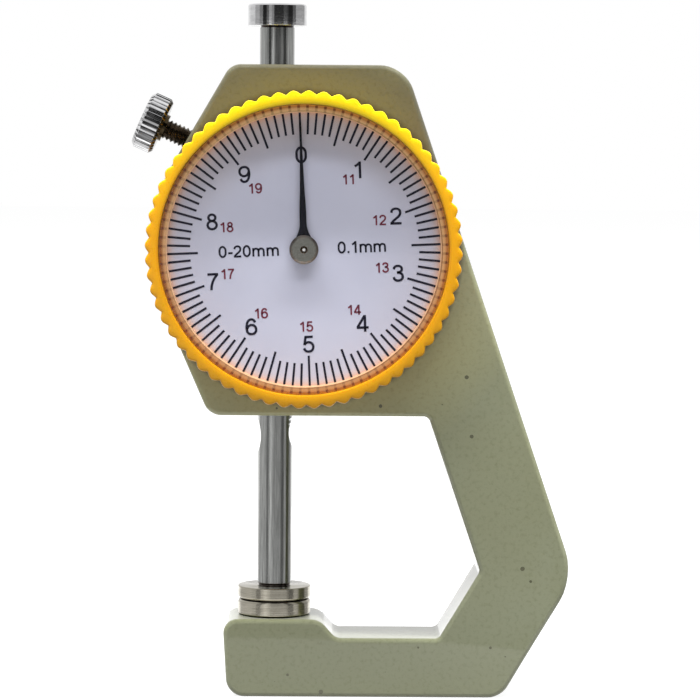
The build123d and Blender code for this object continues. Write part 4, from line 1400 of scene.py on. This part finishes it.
# %% Discs
DISC_SOFTENING = {"width": 0.05, "segments": 2, "angle": 30.0}
anvil_disc = turn("anvil_disc", [(STEM_RADIUS, STEM_LOW), (STEM_RADIUS, PAD_HEIGHT),
                                 (DISC_RADIUS - 0.25, PAD_HEIGHT),
                                 (DISC_RADIUS, PAD_HEIGHT + 0.25), (DISC_RADIUS, PAD_HEIGHT + 0.33),
                                 (DISC_RADIUS, ANVIL_TOP - 0.40), (DISC_RADIUS, ANVIL_TOP - 0.32),
                                 (DISC_RADIUS - 0.18, ANVIL_TOP)], 160)
soften(anvil_disc, **DISC_SOFTENING)
settle(anvil_disc, "gauge_frame", DISC_STEEL, ["anvil"])
upper_disc = turn("upper_disc", [(DISC_RADIUS - 0.4, ANVIL_TOP), (DISC_RADIUS, ANVIL_TOP + 0.4),
                                 (DISC_RADIUS, ANVIL_TOP + 0.48), (DISC_RADIUS, CONTACT_TOP - 0.18),
                                 (DISC_RADIUS, CONTACT_TOP - 0.1), (DISC_RADIUS - 0.1, CONTACT_TOP),
                                 (2.18, CONTACT_TOP), (2.18, SPINDLE_LOW)], 160)
soften(upper_disc, **DISC_SOFTENING)
settle(upper_disc, "spindle", DISC_STEEL, ["contact_disc"])

# %% [markdown]
# ### The lift knob
# A plain turned knob, plated. It stands a hair's breadth above the spindle's shoulder, which shows as a
# dark line, made darker by a band of painted shade on the spindle.

# %% Lift knob
LIFT_RADIUS, LIFT_HEIGHT, LIFT_GAP = 4.0, 2.95, 0.2
knob_low = SPINDLE_TOP + LIFT_GAP
knob_high = knob_low + LIFT_HEIGHT
lift = turn("lift_cap", [(1.4, knob_low), (LIFT_RADIUS, knob_low), (LIFT_RADIUS, knob_low + 0.12),
                         (LIFT_RADIUS, knob_high - 0.26), (LIFT_RADIUS, knob_high - 0.18),
                         (LIFT_RADIUS - 0.18, knob_high)], 128)
soften(lift, 0.05, 3, 30)
settle(lift, "spindle", CHROME, ["lift_knob"])

# %% [markdown]
# ## The lock screw
# The knob has straight ribs, pressed by a knurling wheel. Its edge is a circle with six points for each
# rib, scaled in turn as the waves were.

# %% Lock knob
RIBS, RIB_POINTS = 34, 6
GROOVE = {0: 1.0, 1: 0.75, 5: 0.75}    # the points of each rib that are sunk, and by what share
OUTER_BEVEL, INNER_BEVEL = (0.55, 0.5), (0.45, 0.45)    # how far in and how far along
COLLAR_RADIUS, COLLAR_LENGTH = 1.9, 0.4


def make_lock_knob():
    """The ribbed knob with its bevelled rims and short collar."""
    low, high = KNOB_RADIUS - OUTER_BEVEL[0], KNOB_RADIUS - INNER_BEVEL[0]
    piece = add_disc("ribbed_knob", low, -KNOB_HALF, RIBS * RIB_POINTS)
    pull(OUTER_BEVEL[1], KNOB_RADIUS / low, -KNOB_HALF + OUTER_BEVEL[1])
    pull(2 * KNOB_HALF - OUTER_BEVEL[1] - INNER_BEVEL[1])
    pull(INNER_BEVEL[1], high / KNOB_RADIUS, KNOB_HALF)
    for phase, share in GROOVE.items():
        ratio = 1 - RIB_DEPTH * share / KNOB_RADIUS
        pick_phase(piece, RIBS, RIB_POINTS, phase, KNOB_RADIUS - 0.01)
        bpy.ops.transform.resize(value=(ratio, ratio, 1), center_override=(0, 0, 0))
    top = KNOB_HALF - 0.01
    pick(piece, "FACE", lambda face: face.normal.z > 0.9 and face.calc_center_median().z > top)
    pull(0, COLLAR_RADIUS / high, KNOB_HALF)
    pull(COLLAR_LENGTH)
    tidy_mesh(piece)
    return piece


settle(make_lock_knob(), "lock_screw", RIB_CHROME, ["lock_knob"], LOCK_PLACE, LOCK_TURNED,
       smooth=30)

# %% [markdown]
# ### The thread
# The thread is the one place where a plain rod would be seen at once, so it is a real one: a notched
# edge that the Screw modifier winds up the rod.

# %% Thread
THREAD_PITCH, THREAD_CREST, THREAD_ROOT = 0.6, 1.43, 1.12
STUD_LENGTH = 11.4


def make_thread():
    """A stud with a real thread, closed at both ends."""
    deselect()
    bpy.ops.mesh.primitive_circle_add(vertices=3, radius=1.0, fill_type="NOTHING")
    stud = bpy.context.object
    stud.name = "lock_thread"
    open_mesh(stud)
    mesh = bmesh.from_edit_mesh(stud.data)
    mesh.verts.ensure_lookup_table()
    profile = [(THREAD_ROOT, 0, 0), (THREAD_CREST, 0, THREAD_PITCH / 2), (THREAD_ROOT, 0, THREAD_PITCH)]
    starts = [vert.co.copy() for vert in mesh.verts]
    for index, corner in enumerate(profile):
        pick(stud, "VERT", lambda vert: vert.index == index)
        bpy.ops.transform.translate(value=Vector(corner) - starts[index])
    pick(stud, "EDGE", lambda edge: all(abs(vert.co.x - THREAD_ROOT) < 1e-4 for vert in edge.verts))
    bpy.ops.mesh.delete(type="EDGE_FACE")
    apply_modifier(stud, "SCREW", axis="Z", angle=math.tau, screw_offset=THREAD_PITCH,
                   iterations=round(STUD_LENGTH / THREAD_PITCH), steps=32, render_steps=32,
                   use_merge_vertices=True, merge_threshold=0.001)
    open_mesh(stud)
    pick_all()
    bpy.ops.mesh.remove_doubles(threshold=0.001)
    pick_all()
    bpy.ops.mesh.fill_holes(sides=0)
    face_outwards()
    return stud


settle(make_thread(), "lock_screw", BLACK_OXIDE, ["lock_stud"], LOCK_PLACE, LOCK_TURNED,
       smooth=40)

# %% [markdown]
# ## The pieces inside
# The movement hides behind the dial. Its parts are right as they were drawn, so they only get a finish:
# brass where a shaft runs, bright steel for the screws, wire for the spring.

# %% Finishes of the drawn parts
DRAWN = [
    (ENAMEL, "frame"), (DISC_STEEL, "anvil contact_disc"), (SPINDLE_STEEL, "measuring_spindle"),
    (BRASS, "upper_bush lower_bush movement_plate front_pivot_bush rear_pivot_bush pinion pressure_pad"),
    (INNER_STEEL, "plate_screws spring_post cross_pin"), (SPRING_STEEL, "bezel_ring return_spring"),
    (CHROME, "lift_knob"), (RIB_CHROME, "lock_knob"), (BLACK_OXIDE, "lock_stud"),
    (SHAFT_STEEL, "pinion_shaft"), (POINTER_BLACK, "pointer_hand"), (HUB_METAL, "pointer_hub"),
    (YELLOW, "bezel_rim"), (PANE, "crystal"), (DIAL_PAINT, "dial_plate"),
]
for finish, names in DRAWN:
    for name in names.split():
        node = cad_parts[name]
        node.data.materials.clear()
        node.data.materials.append(finish)
print("finishes:", len(DRAWN), "drawn parts:", sum(len(names.split()) for _, names in DRAWN))
